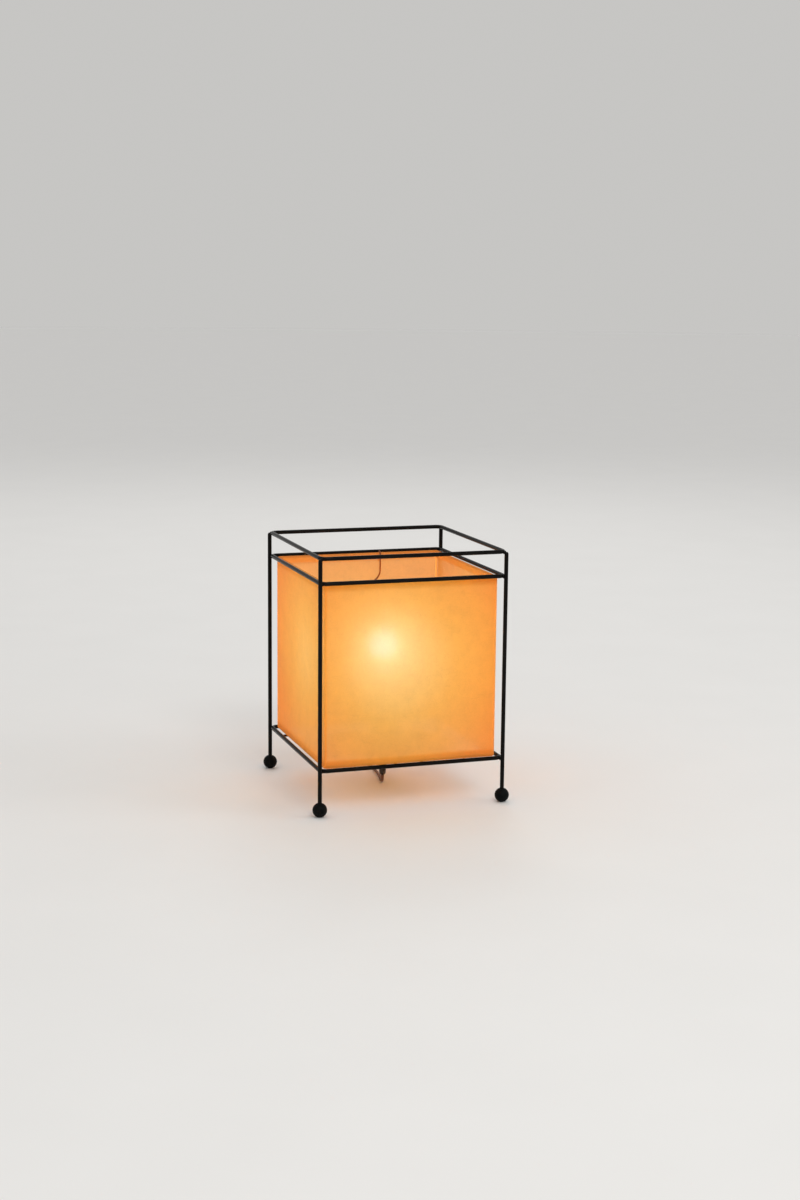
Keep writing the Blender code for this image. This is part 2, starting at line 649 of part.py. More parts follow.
def bulb_outline(inset):
    """The bulb's outline from neck to crown, moved in by a wall thickness."""
    radius = BULB_D / 2 - inset
    middle_z = BULB_LENGTH - BULB_D / 2
    meets = math.radians(BULB_NECK_MEETS - 90)
    neck_r = BULB_NECK_D / 2 - inset
    joint = Vector((radius * math.cos(meets), middle_z + radius * math.sin(meets)))
    along = Vector((math.sin(-meets), math.cos(meets)))
    start = Vector((neck_r, GLASS_LIFT))
    pull = (joint - start).length / 2
    handles = (start, start + Vector((0, pull)), joint - along * pull, joint)
    neck = []
    for step in range(ARC_STEPS):
        share = step / ARC_STEPS
        rest = 1 - share
        weights = (rest ** 3, 3 * rest ** 2 * share, 3 * rest * share ** 2, share ** 3)
        spot = sum((handle * weight for handle, weight in zip(handles, weights)), Vector((0, 0)))
        neck.append((spot.x, spot.y))
    globe = arc((0, middle_z), radius, BULB_NECK_MEETS - 90, 90, 2 * ARC_STEPS)
    return neck + globe[:-1] + [(0, middle_z + radius)]


def build_bulb(lamp, finishes):
    """The bulb: eyelet and insulating glass at its tip, then the screw cap, glass, stem and filament."""
    bulb = axis_empty("bulb_screw_axis", (0, 0, BULB_Z), lamp)
    add("bulb_eyelet", rod(EYELET_D, EYELET_H), finishes["zinc"], parent=bulb)
    root_r = CAP_THREAD_D / 2 - CAP_THREAD_DEPTH
    cone = [(0, 0), (EYELET_D / 2, 0), (root_r, CAP_GLASS_H), (0, CAP_GLASS_H)]
    add("bulb_tip_glass", turned(cone), finishes["bakelite"], (0, 0, CAP_GLASS_LIFT), parent=bulb)

    crest_r = CAP_THREAD_D / 2
    cap = [(0, 0), (root_r, 0)]
    for ridge in range(CAP_RIDGES):
        cap += [(root_r, CAP_H * (ridge + 0.2) / CAP_RIDGES)]
        cap += [(crest_r, CAP_H * (ridge + 0.5) / CAP_RIDGES)]
        cap += [(root_r, CAP_H * (ridge + 0.8) / CAP_RIDGES)]
    cap += [(root_r, CAP_H), (CAP_COLLAR_D / 2, CAP_H)]
    cap += [(CAP_COLLAR_D / 2, CAP_H + CAP_COLLAR_H), (0, CAP_H + CAP_COLLAR_H)]
    add("bulb_cap", turned(cap), finishes["zinc"], (0, 0, CAP_LIFT), parent=bulb)

    glass = bulb_outline(0) + bulb_outline(BULB_GLASS_T)[::-1]
    add("bulb_glass", turned(glass, closed=True), finishes["opal_glass"], parent=bulb)
    stem = [(0, 0), (STEM_D / 2, 0), (STEM_D / 2, STEM_H - STEM_HEAD_H)]
    stem += [(STEM_HEAD_D / 2, STEM_H - STEM_HEAD_H), (STEM_HEAD_D / 2, STEM_H), (0, STEM_H)]
    add("bulb_stem", turned(stem), finishes["clear_glass"], (0, 0, STEM_LIFT), parent=bulb)
    wire = [(-LEAD_SPACING / 2, 0, LEAD_LIFT)]
    for bend in range(2 * FILAMENT_PEAKS + 1):
        across = LEAD_SPACING * (bend / (2 * FILAMENT_PEAKS) - 0.5)
        wire.append((across, 0, LEAD_LIFT + LEAD_H + FILAMENT_RISE * (bend % 2)))
    wire.append((LEAD_SPACING / 2, 0, LEAD_LIFT))
    tube("bulb_filament", wire, FILAMENT_D, 1, finishes["tungsten"], bulb)


def eased(share):
    """A smooth step from 0 to 1."""
    share = min(max(share, 0.0), 1.0)
    return share * share * (3 - 2 * share)


def coil_line(points_per_loop):
    """The coil's middle line. It spirals in and out, and climbs a layer at each turning point."""
    line = []
    count = round(COIL_TURNS * points_per_loop)
    for i in range(count + 1):
        turn = COIL_TURNS * i / count
        layer = min(int(turn / TURNS_PER_LAYER), COIL_LAYERS - 1)
        into_layer = turn - layer * TURNS_PER_LAYER
        inward = into_layer if layer % 2 == 0 else TURNS_PER_LAYER - into_layer
        radius = COIL_OUTER_R - inward * TURN_PITCH
        climbs = [eased((turn - k * TURNS_PER_LAYER) / CLIMB_TURNS + 0.5) for k in range(1, COIL_LAYERS)]
        angle = math.radians(COIL_START) + math.tau * turn
        x = COIL_AT[0] + radius * math.cos(angle)
        y = COIL_AT[1] + radius * math.sin(angle)
        line.append((x, y, COIL_Z + TURN_PITCH * sum(climbs)))
    line = np.array(line)
    first, last = line[0] - line[1], line[-1] - line[-2]
    start = line[0] + first / np.linalg.norm(first) * FLEX_D
    end = line[-1] + last / np.linalg.norm(last) * FLEX_D
    return np.concatenate(([start], line, [end]))


def least_gap(line, apart, diameter):
    """The least air between parts of a tube that are further apart along it than given."""
    along = np.concatenate(([0], np.cumsum(np.linalg.norm(np.diff(line, axis=0), axis=1))))
    nearest = np.inf
    for i in range(len(line)):
        later = line[along > along[i] + apart]
        if len(later):
            nearest = min(nearest, np.linalg.norm(later - line[i], axis=1).min())
    return nearest - diameter


def build_flex(lamp, finishes):
    """The flex: a free stretch to the switch, one to the coil, the coil with its tie, and a tail to the plug."""
    brown = finishes["brown_flex"]
    fall = GRIP_TOP_Z - GRIP_LENGTH - CLEARANCE - FLEX_LIFT
    to_switch = [(x, y, FLEX_LIFT + share * fall) for x, y, share in FLEX_DROP]
    to_switch += ROUTE_TO_SWITCH
    total = 0.0
    for name, points in (("switch", to_switch), ("coil", ROUTE_TO_COIL), ("plug", ROUTE_TO_PLUG)):
        line = smooth_route(points, FLEX_STEP)
        tube(f"flex_to_{name}", line, FLEX_D, 2, brown, lamp)
        total += line_length(line)
    coil = coil_line(LOOP_POINTS)
    tube("flex_coil", coil, FLEX_D, 1, brown, lamp)
    total += line_length(coil)
    gap = least_gap(coil_line(4 * LOOP_POINTS), 6 * FLEX_D, FLEX_D)
    print(f"flex length {total:.3f} m, least gap in the coil {gap * 1000:.2f} mm")

    bundle_w = COIL_OUTER_R - COIL_INNER_R + FLEX_D + 2 * TIE_SLACK
    bundle_h = (COIL_LAYERS - 1) * TURN_PITCH + FLEX_D + 2 * TIE_SLACK
    middle_z = COIL_Z + (COIL_LAYERS - 1) * TURN_PITCH / 2
    rings = []
    for side in (-1, 1):
        for thickness in (0, TIE_T) if side < 0 else (TIE_T, 0):
            ring = rounded_rectangle(bundle_w + 2 * thickness, bundle_h + 2 * thickness, TIE_T + thickness, 0)
            rings.append([(x, side * TIE_W / 2, z) for x, z, _ in ring])
    angle = math.radians(TIE_ANGLE)
    place = (
        COIL_AT[0] + COIL_MEAN_R * math.cos(angle),
        COIL_AT[1] + COIL_MEAN_R * math.sin(angle),
        middle_z,
    )
    add("coil_tie", lofted(rings, closed=True), finishes["bakelite"], place, (0, 0, angle), lamp)


def build_switch(lamp, finishes):
    """The switch on the flex: two half shells, a rocker on its pin, and a contact strip."""
    brown = finishes["brown_plastic"]
    inside_length = SWITCH_LENGTH - 2 * SWITCH_WALL
    inside_width = SWITCH_WIDTH - 2 * SWITCH_WALL
    inside_r = SWITCH_END_R - SWITCH_WALL
    foot_r = SWITCH_END_R - SWITCH_EDGE
    foot_length, foot_width = SWITCH_LENGTH - 2 * SWITCH_EDGE, SWITCH_WIDTH - 2 * SWITCH_EDGE
    lower = lofted([
        rounded_rectangle(foot_length, foot_width, foot_r, 0),
        rounded_rectangle(SWITCH_LENGTH, SWITCH_WIDTH, SWITCH_END_R, SWITCH_EDGE),
        rounded_rectangle(SWITCH_LENGTH, SWITCH_WIDTH, SWITCH_END_R, SWITCH_LOWER_H),
        rounded_rectangle(inside_length, inside_width, inside_r, SWITCH_LOWER_H),
        rounded_rectangle(inside_length, inside_width, inside_r, SWITCH_EDGE),
    ])
    add("switch_lower_shell", lower, brown, (*SWITCH_AT, 0), parent=lamp)

    window_length = 2 * (ROCKER_REACH + CLEARANCE)
    window_width = ROCKER_WIDTH + 2 * CLEARANCE
    lid_z = SWITCH_UPPER_H - SWITCH_WALL
    upper = lofted([
        rounded_rectangle(inside_length, inside_width, inside_r, 0),
        rounded_rectangle(SWITCH_LENGTH, SWITCH_WIDTH, SWITCH_END_R, 0),
        rounded_rectangle(SWITCH_LENGTH, SWITCH_WIDTH, SWITCH_END_R, SWITCH_UPPER_H - SWITCH_EDGE),
        rounded_rectangle(foot_length, foot_width, foot_r, SWITCH_UPPER_H),
        rounded_rectangle(window_length, window_width, SWITCH_WALL / 2, SWITCH_UPPER_H),
        rounded_rectangle(window_length, window_width, SWITCH_WALL / 2, lid_z),
        rounded_rectangle(inside_length, inside_width, inside_r, lid_z),
    ], closed=True)
    add("switch_upper_shell", upper, brown, (*SWITCH_AT, SWITCH_LID_Z), parent=lamp)

    pivot = axis_empty("rocker_axis", (*SWITCH_AT, ROCKER_PIN_Z), lamp)
    tilt = (0, math.radians(-ROCKER_TILT), 0)
    add("switch_rocker", rocker_form(), finishes["bakelite"], turn=tilt, parent=pivot)
    pin_length = inside_width - 2 * CLEARANCE
    pin = rod(ROCKER_PIN_D, pin_length)
    place = (0, pin_length / 2, 0)
    add("rocker_pin", pin, finishes["zinc"], place, (math.pi / 2, 0, 0), pivot)

    strip_length = inside_length - 2 * inside_r
    strip = lofted([
        rounded_rectangle(strip_length, STRIP_WIDTH, STRIP_T, level) for level in (0, STRIP_T)
    ])
    place = (*SWITCH_AT, SWITCH_EDGE + CLEARANCE)
    add("switch_contact_strip", strip, finishes["brass"], place, parent=lamp)


def rocker_form():
    """The rocker: a dished top and a rounded belly around the hole for its pin."""
    half = ROCKER_LENGTH / 2
    belly = arc((0, 0), ROCKER_PIN_D / 2 + SWITCH_WALL, 180, 360, 8)
    outline = [(half, 0), (half, ROCKER_HEIGHT), (0, ROCKER_HEIGHT - ROCKER_DIP)]
    outline += [(-half, ROCKER_HEIGHT), (-half, 0)] + belly
    hole_r = ROCKER_PIN_D / 2 + CLEARANCE
    hole = []
    for x, z in outline:
        reach = math.hypot(x, z)
        hole.append((hole_r * x / reach, hole_r * z / reach))
    levels = ((hole, -1), (outline, -1), (outline, 1), (hole, 1))
    return lofted([[(x, side * ROCKER_WIDTH / 2, z) for x, z in ring] for ring, side in levels], closed=True)


def build_plug(lamp, finishes):
    """A flat plug with two round pins, lying on its side at the end of the flex."""
    back = (*PLUG_BACK, PLUG_THICKNESS / 2)
    neck_r = PLUG_NECK_D / 2
    shoulder = PLUG_NECK_LENGTH + PLUG_EDGE_R
    sections = (
        (0, PLUG_NECK_D, PLUG_NECK_D, neck_r * 0.98),
        (PLUG_NECK_LENGTH, PLUG_NECK_D * 1.5, PLUG_NECK_D * 1.3, neck_r),
        (shoulder, PLUG_WIDTH * 0.72, PLUG_THICKNESS * 0.85, PLUG_EDGE_R),
        (PLUG_LENGTH * 0.75, PLUG_WIDTH, PLUG_THICKNESS, PLUG_EDGE_R),
        (PLUG_LENGTH, PLUG_WIDTH, PLUG_THICKNESS, PLUG_EDGE_R),
    )
    rings = []
    for along, width, thickness, radius in sections:
        ring = rounded_rectangle(width, thickness, radius, 0)
        rings.append([(along, y, z) for y, z, _ in ring])
    add("plug_body", lofted(rings), finishes["brown_plastic"], back, parent=lamp)
    pin_r = PLUG_PIN_D / 2
    tip = arc((0, PLUG_PIN_LENGTH - pin_r), pin_r, 0, 90)
    pin = turned([(0, 0), (pin_r, 0)] + tip[:-1] + [(0, PLUG_PIN_LENGTH)], sides=ROD_SIDES)
    pin.transform(Matrix.Rotation(math.pi / 2, 4, "Y"))
    for name, side in (("near", -1), ("far", 1)):
        place = (back[0] + PLUG_LENGTH + CLEARANCE, back[1] + side * PLUG_PIN_SPACING / 2, back[2])
        add(f"plug_pin_{name}", pin.copy(), finishes["brass"], place, parent=lamp)


def build_lamp():
    """The whole lamp."""
    clear_scene()
    finishes = make_finishes()
    lamp = axis_empty("lamp", (0, 0, 0))
    build_frame(lamp, finishes)
    build_shade_rests(lamp, finishes)
    build_shade(lamp, finishes)
    build_carrier(lamp, finishes)
    build_holder(lamp, finishes)
    build_bulb(lamp, finishes)
    build_flex(lamp, finishes)
    build_switch(lamp, finishes)
    build_plug(lamp, finishes)


build_lamp()
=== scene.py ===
# %% [markdown]
# # Dressing a rice paper table lamp
#
# This lesson dresses a finished model of a small table lamp: a black wire frame on four
# ball feet, a square shade of rice paper that stands loose inside it, and a bulb that
# makes the paper glow. The model already has every piece at its size and place. Here
# each piece that shows gets a smoother form or a better surface, in the same place.

# %% Load the finished model
import json
import math

import bpy
import numpy as np
from mathutils import Matrix, Vector


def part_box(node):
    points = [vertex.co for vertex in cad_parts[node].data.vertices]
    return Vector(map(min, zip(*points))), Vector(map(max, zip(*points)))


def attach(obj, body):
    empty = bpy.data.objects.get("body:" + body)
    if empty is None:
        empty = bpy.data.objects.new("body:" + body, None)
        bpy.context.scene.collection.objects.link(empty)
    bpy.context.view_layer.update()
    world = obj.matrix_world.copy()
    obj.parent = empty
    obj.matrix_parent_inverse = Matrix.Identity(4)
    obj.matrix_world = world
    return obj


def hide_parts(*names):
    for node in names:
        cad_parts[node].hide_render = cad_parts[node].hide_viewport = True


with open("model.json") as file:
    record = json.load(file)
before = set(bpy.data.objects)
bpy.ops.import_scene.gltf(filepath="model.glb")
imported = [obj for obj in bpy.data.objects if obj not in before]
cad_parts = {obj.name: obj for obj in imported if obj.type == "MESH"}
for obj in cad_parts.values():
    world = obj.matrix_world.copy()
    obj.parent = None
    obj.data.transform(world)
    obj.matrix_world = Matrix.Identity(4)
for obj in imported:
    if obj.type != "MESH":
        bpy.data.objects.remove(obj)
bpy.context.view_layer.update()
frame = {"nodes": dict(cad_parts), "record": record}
nodes = frame["nodes"]
slot_of = {row["node"]: row["material_slot"] for row in frame["record"]["subparts"]}
print("pieces of the model:", len(nodes))

# %% [markdown]
# ## Camera
#
# The lamp is seen from a little above and a little to its left, from nearly two metres
# away with a lens slightly longer than normal. A camera could be aimed with a Track To
# constraint, but its slight lean would be lost. So the three turns are written down and
# the camera's matrix is built from them.

# %% Place the camera
camera_data = bpy.data.cameras.new("camera")
camera_data.sensor_fit = "VERTICAL"
camera_data.sensor_height = 36
camera_data.lens = 56.2
camera = bpy.data.objects.new("camera", camera_data)
bpy.context.scene.collection.objects.link(camera)
bpy.context.scene.camera = camera

turned_right = math.radians(18.659)
tipped_down = math.radians(10.058)
leaning = math.radians(0.576)
level_right = Vector((math.cos(turned_right), -math.sin(turned_right), 0))
ahead = Vector((
    math.cos(tipped_down) * math.sin(turned_right),
    math.cos(tipped_down) * math.cos(turned_right),
    -math.sin(tipped_down),
))
level_up = level_right.cross(ahead)
right = math.cos(leaning) * level_right + math.sin(leaning) * level_up
up = math.cos(leaning) * level_up - math.sin(leaning) * level_right
aim = Matrix((right, up, -ahead)).transposed().to_4x4()
camera_spot = (-0.5668, -1.7279, 0.5102)
camera.matrix_world = Matrix.Translation(camera_spot) @ aim
print("camera at", [round(value, 3) for value in camera.location])

# %% [markdown]
# ## Flex
#
# The flex is a thin round cable in a reddish brown braid. It comes out of the grip under
# the lampholder, bends down to the table and runs back under the frame to its switch.
# Behind the lamp the spare length lies in a tied coil, with the plug beside it. A Bezier
# curve drawn by eye would not have the right length, so the line is worked out from
# chosen points and the coil from its turns, and each stretch becomes one tube.

# %% Lines that the flex follows
flex_diameter = 0.003
flex_step = 0.0015
span_points = 24
on_table = 0.0016
route_to_switch = (
    (0.0000, 0.0000, 0.0097), (0.0000, 0.0002, 0.0073), (0.0003, 0.0016, 0.0045),
    (0.0008, 0.0043, 0.0026), (0.0015, 0.0080, 0.0017), (0.0027, 0.0140, on_table),
    (0.0040, 0.0205, on_table), (0.0053, 0.0275, on_table), (0.0064, 0.0360, on_table),
    (0.0075, 0.0500, on_table), (0.0082, 0.0660, on_table), (0.0089, 0.0800, on_table),
    (0.0104, 0.0905, on_table), (0.0150, 0.1005, 0.0020), (0.0232, 0.1085, 0.0036),
    (0.0330, 0.1128, 0.0064), (0.0400, 0.1139, 0.0078), (0.0447, 0.1140, 0.0080),
)
route_to_coil = (
    (0.0993, 0.1140, 0.0080), (0.1045, 0.1143, 0.0077), (0.1135, 0.1175, 0.0056),
    (0.1210, 0.1250, 0.0032), (0.1250, 0.1360, 0.0019), (0.1232, 0.1480, on_table),
    (0.1160, 0.1575, on_table), (0.1050, 0.1622, 0.0017), (0.0900, 0.1630, 0.0019),
    (0.0700, 0.1626, 0.0024), (0.0500, 0.1622, 0.0028), (0.0330, 0.1620, 0.0030),
    (0.0220, 0.1620, 0.0030), (0.0143, 0.1620, 0.0030),
)
route_to_plug = (
    (0.0321, 0.1277, 0.0135), (0.0364, 0.1331, 0.0127), (0.0420, 0.1381, 0.0105),
    (0.0485, 0.1412, 0.0081), (0.0540, 0.1420, 0.0070), (0.0587, 0.1420, 0.0068),
)


def smooth_route(points, step):
    """Points about one step apart on a smooth curve through the chosen ones."""
    chosen = np.array(points)
    chords = np.linalg.norm(np.diff(chosen, axis=0), axis=1)
    slopes = np.gradient(chosen, np.concatenate(([0], np.cumsum(chords))), axis=0)
    share = np.linspace(0, 1, span_points, endpoint=False)[:, None]
    spans = []
    for i, chord in enumerate(chords):
        rise = chosen[i + 1] - chosen[i]
        start_bend = slopes[i] * chord - rise
        end_bend = rise - slopes[i + 1] * chord
        bend = share * (1 - share) * ((1 - share) * start_bend + share * end_bend)
        spans.append(chosen[i] + share * rise + bend)
    return evenly_spaced(np.concatenate(spans + [chosen[-1:]]), step)


def evenly_spaced(line, step):
    """The same line with its points about one step apart."""
    along = np.concatenate(([0], np.cumsum(np.linalg.norm(np.diff(line, axis=0), axis=1))))
    marks = np.linspace(0, along[-1], max(2, round(along[-1] / step) + 1))
    return np.stack([np.interp(marks, along, line[:, k]) for k in range(3)], axis=1)


def line_length(line):
    """How long a line of points is."""
    return float(np.linalg.norm(np.diff(line, axis=0), axis=1).sum())


line_to_switch = smooth_route(route_to_switch, flex_step)
print("flex to the switch", round(line_length(line_to_switch), 4), "m")

# %% Wind the coil
coil_middle = (0.011, 0.1385, 0.003)
coil_mean_radius = 0.018
coil_layers = 4
coil_turns = 12.653
turn_pitch = 0.0035
climb_turns = 0.5


def eased(share):
    """A smooth step from 0 to 1."""
    share = min(max(share, 0.0), 1.0)
    return share * share * (3 - 2 * share)


def coil_line(points_per_loop):
    """The coil's middle line: in and out again, a layer higher at each turning point."""
    turns_per_layer = coil_turns / coil_layers
    outer_radius = coil_mean_radius + turns_per_layer * turn_pitch / 2
    count = round(coil_turns * points_per_loop)
    line = []
    for i in range(count + 1):
        turn = coil_turns * i / count
        layer = min(int(turn / turns_per_layer), coil_layers - 1)
        into_layer = turn - layer * turns_per_layer
        inward = into_layer if layer % 2 == 0 else turns_per_layer - into_layer
        radius = outer_radius - inward * turn_pitch
        climbs = [eased((turn - k * turns_per_layer) / climb_turns + 0.5) for k in range(1, coil_layers)]
        angle = math.pi / 2 + math.tau * turn
        x = coil_middle[0] + radius * math.cos(angle)
        y = coil_middle[1] + radius * math.sin(angle)
        line.append((x, y, coil_middle[2] + turn_pitch * sum(climbs)))
    return np.array(line)


line_to_coil = smooth_route(route_to_coil, flex_step)
line_from_coil = smooth_route(route_to_plug, flex_step)
line_to_plug = np.concatenate((line_to_coil, coil_line(48), line_from_coil))
print("flex to the plug", round(line_length(line_to_plug), 4), "m")

# %% Make the tubes
def select_only(piece):
    """Select one piece and nothing else, so that the next operator works on it alone."""
    bpy.ops.object.select_all(action="DESELECT")
    piece.select_set(True)
    bpy.context.view_layer.objects.active = piece


def wire_along(name, line, diameter, resolution=3):
    """A round wire along a line, as a mesh whose UV map is to scale: one unit is once round."""
    curve = bpy.data.curves.new(name, "CURVE")
    curve.dimensions = "3D"
    curve.bevel_depth = diameter / 2
    curve.bevel_resolution = resolution
    curve.use_fill_caps = True
    spline = curve.splines.new("POLY")
    spline.points.add(len(line) - 1)
    for spot, point in zip(spline.points, line):
        spot.co = (*point, 1)
    piece = bpy.data.objects.new(name, curve)
    bpy.context.scene.collection.objects.link(piece)
    select_only(piece)
    bpy.ops.object.convert(target="MESH")
    bpy.ops.object.shade_smooth_by_angle(angle=math.radians(50))
    unwrapped = piece.data.uv_layers.active.data
    places = np.zeros(2 * len(unwrapped))
    unwrapped.foreach_get("uv", places)
    places[0::2] *= line_length(np.array(line)) / (math.pi * diameter)
    unwrapped.foreach_set("uv", places)
    return piece


flex_front = wire_along("flex_front", line_to_switch, flex_diameter)
flex_back = wire_along("flex_back", line_to_plug, flex_diameter)
print("flex faces", len(flex_front.data.polygons), len(flex_back.data.polygons))

# %% [markdown]
# ## Helpers for turned and bent pieces
#
# Most of the lamp is round: posts, balls, bulb and lampholder could all start from
# cylinders and spheres, but their ends and rims need a profile. So one vertex is pulled
# from point to point along a profile, as one would by hand with Extrude, and the line is
# spun round the axis. The hoops and the shade go round a square with rounded corners, so
# their section is extruded along each side and spun through each corner.

# %% Draw a profile, and close up what was spun
def start_piece(name, add, **settings):
    """Add a primitive with nothing else selected, name it and go into edit mode."""
    bpy.ops.object.select_all(action="DESELECT")
    add(**settings)
    piece = bpy.context.object
    piece.name = name
    piece.data.name = name
    bpy.ops.object.mode_set(mode="EDIT")
    return piece


def draw_line(name, points):
    """A chain of edges from one vertex pulled from point to point. Edit mode stays on."""
    piece = start_piece(name, bpy.ops.mesh.primitive_plane_add, size=0.001)
    bpy.ops.mesh.select_mode(type="VERT")
    bpy.ops.mesh.merge(type="CENTER")
    bpy.ops.transform.translate(value=points[0])
    for here, there in zip(points, points[1:]):
        step = Vector(there) - Vector(here)
        bpy.ops.mesh.extrude_vertices_move(TRANSFORM_OT_translate={"value": step})
    bpy.ops.mesh.select_all(action="SELECT")
    return piece


def close_up(sharp_from=35):
    """Merge what meets, turn the faces outwards, leave edit mode and shade smooth."""
    bpy.ops.mesh.select_all(action="SELECT")
    bpy.ops.mesh.remove_doubles(threshold=1e-6)
    bpy.ops.mesh.normals_make_consistent(inside=False)
    bpy.ops.object.mode_set(mode="OBJECT")
    bpy.ops.object.shade_smooth_by_angle(angle=math.radians(sharp_from))


def face_out(piece):
    """Turn an open shell's faces outwards, judged by where most of them look from its middle."""
    faces = piece.data.polygons
    middle = sum((face.center for face in faces), Vector()) / len(faces)
    if sum(face.area * face.normal.dot(face.center - middle) for face in faces) < 0:
        piece.data.flip_normals()


def arc(middle, radius, start, end, steps):
    """Points on a circle between two angles in degrees."""
    angles = np.radians(np.linspace(start, end, steps + 1))
    return [(middle[0] + radius * math.cos(a), middle[1] + radius * math.sin(a)) for a in angles]


# %% Turn on a lathe, and carry round a square
def turn_on_lathe(name, profile, steps=40):
    """A profile of (radius, height) points spun once round the Z axis."""
    piece = draw_line(name, [(radius, 0, height) for radius, height in profile])
    bpy.ops.mesh.spin(steps=steps, angle=math.tau, center=(0, 0, 0), axis=(0, 0, 1))
    close_up()
    return piece


def carry_round_square(name, section, half, corner, side_steps, corner_steps):
    """A section of (outward, height) points carried once round a square with round corners."""
    piece = draw_line(name, [(0, -(half + outward), height) for outward, height in section])
    straight = half - corner
    sides = ((straight, 0), (0, 2 * straight), (-2 * straight, 0), (0, -2 * straight), (straight, 0))
    middles = ((straight, -straight), (straight, straight), (-straight, straight), (-straight, -straight))
    for number, (run_x, run_y) in enumerate(sides):
        steps = max(1, side_steps // 2) if number in (0, 4) else side_steps
        for _ in range(steps):
            step = (run_x / steps, run_y / steps, 0)
            bpy.ops.mesh.extrude_region_move(TRANSFORM_OT_translate={"value": step})
        if number < 4:
            bpy.ops.mesh.spin(
                steps=corner_steps,
                angle=-math.pi / 2,
                center=(*middles[number], 0),
                axis=(0, 0, 1),
            )
    close_up()
    return piece


# %% Move a piece inside its mesh, and copy it
def shift(piece, offset=(0, 0, 0), turn=0, axis="X", about=(0, 0, 0)):
    """Turn and move a piece's vertices, so that its object stays at the origin."""
    select_only(piece)
    bpy.ops.object.mode_set(mode="EDIT")
    bpy.ops.mesh.select_all(action="SELECT")
    if turn:
        bpy.ops.transform.rotate(value=-math.radians(turn), orient_axis=axis, center_override=about)
    bpy.ops.transform.translate(value=offset)
    bpy.ops.object.mode_set(mode="OBJECT")


def copy_of(piece, name, offset=(0, 0, 0), turn=0, axis="X"):
    """A copy with a mesh of its own, moved inside that mesh."""
    select_only(piece)
    bpy.ops.object.duplicate()
    twin = bpy.context.object
    twin.name = name
    twin.data.name = name
    shift(twin, offset, turn, axis)
    return twin


def heights_of(node):
    """The lowest and the highest point of a node of the model."""
    low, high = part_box(node)
    return low[2], high[2]


def put_on(piece, finish, body, node):
    """Give a piece its finish and body, and hide the node of the model that it stands for."""
    piece.data.materials.clear()
    piece.data.materials.append(finish)
    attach(piece, body)
    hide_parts(node)


# %% [markdown]
# ## Finishes
#
# Every finish is made of nodes, so that it keeps its detail at any size. Each reads Object
# coordinates, in metres, which makes a scale of 900 about one wave in a millimetre. The
# marks that hands and dust leave are nearly the same on paint, plastic and metal, so they
# are one node group, built once and placed in each finish with its own values.

# %% Put nodes in a tree
def connect(tree, socket, value):
    """Link a socket to another node's output, or write a plain value on it."""
    if isinstance(value, bpy.types.NodeSocket):
        tree.links.new(value, socket)
    elif socket.type == "RGBA":
        socket.default_value = (*value, 1)
    else:
        socket.default_value = value


def place(tree, kind, inputs=None, **settings):
    """Add one node, choose its settings, and set or link its inputs."""
    made = tree.nodes.new("ShaderNode" + kind)
    for setting, value in settings.items():
        setattr(made, setting, value)
    for socket, value in (inputs or {}).items():
        connect(tree, made.inputs[socket], value)
    return made


def feed(shader, **values):
    """Set or link a shader's inputs, named with underscores for spaces."""
    for socket, value in values.items():
        connect(shader.id_data, shader.inputs[socket.replace("_", " ")], value)


def new_finish(name, **plain):
    """A new material, its node tree and its shader, with the plain values set on the shader."""
    finish = bpy.data.materials.new(name)
    finish.use_nodes = True
    shader = finish.node_tree.nodes["Principled BSDF"]
    feed(shader, **plain)
    return finish, finish.node_tree, shader


def object_spot(tree):
    """The place on the object, in metres."""
    return place(tree, "TexCoord").outputs["Object"]


def parts_of(tree, vector):
    """The three parts of a vector, by their letters."""
    return place(tree, "SeparateXYZ", {"Vector": vector}).outputs


def noise(tree, spot, scale, detail, roughness=0.5):
    """A value that wanders over the object."""
    inputs = {"Vector": spot, "Scale": scale, "Detail": detail, "Roughness": roughness}
    return place(tree, "TexNoise", inputs).outputs["Fac"]


def ranged(tree, value, low, high, start=0.0, end=1.0):
    """A value moved from one range to another and kept inside it."""
    inputs = {"Value": value, "From Min": start, "From Max": end, "To Min": low, "To Max": high}
    return place(tree, "MapRange", inputs).outputs["Result"]


def blended(tree, share, first, second):
    """Two colours mixed by a share."""
    mix = place(tree, "Mix", {0: share, "A": first, "B": second}, data_type="RGBA")
    return mix.outputs["Result"]


def scaled(tree, colour, share):
    """A colour made stronger or weaker."""
    inputs = {0: colour, "Scale": share}
    return place(tree, "VectorMath", inputs, operation="SCALE").outputs["Vector"]


def ramped(tree, share, *stops):
    """A colour looked up along a row of stops, each a place on the row and a colour."""
    ramp = place(tree, "ValToRGB", {"Fac": share})
    elements = ramp.color_ramp.elements
    elements.remove(elements[1])
    elements[0].position = stops[0][0]
    elements[0].color = (*stops[0][1], 1)
    for place_on_row, colour in stops[1:]:
        elements.new(place_on_row).color = (*colour, 1)
    return ramp.outputs["Color"]


def sums(tree, operation, first, *others):
    """Arithmetic on one value, or on several in turn."""
    for other in others or (0.0,):
        first = place(tree, "Math", {0: first, 1: other}, operation=operation).outputs[0]
    return first


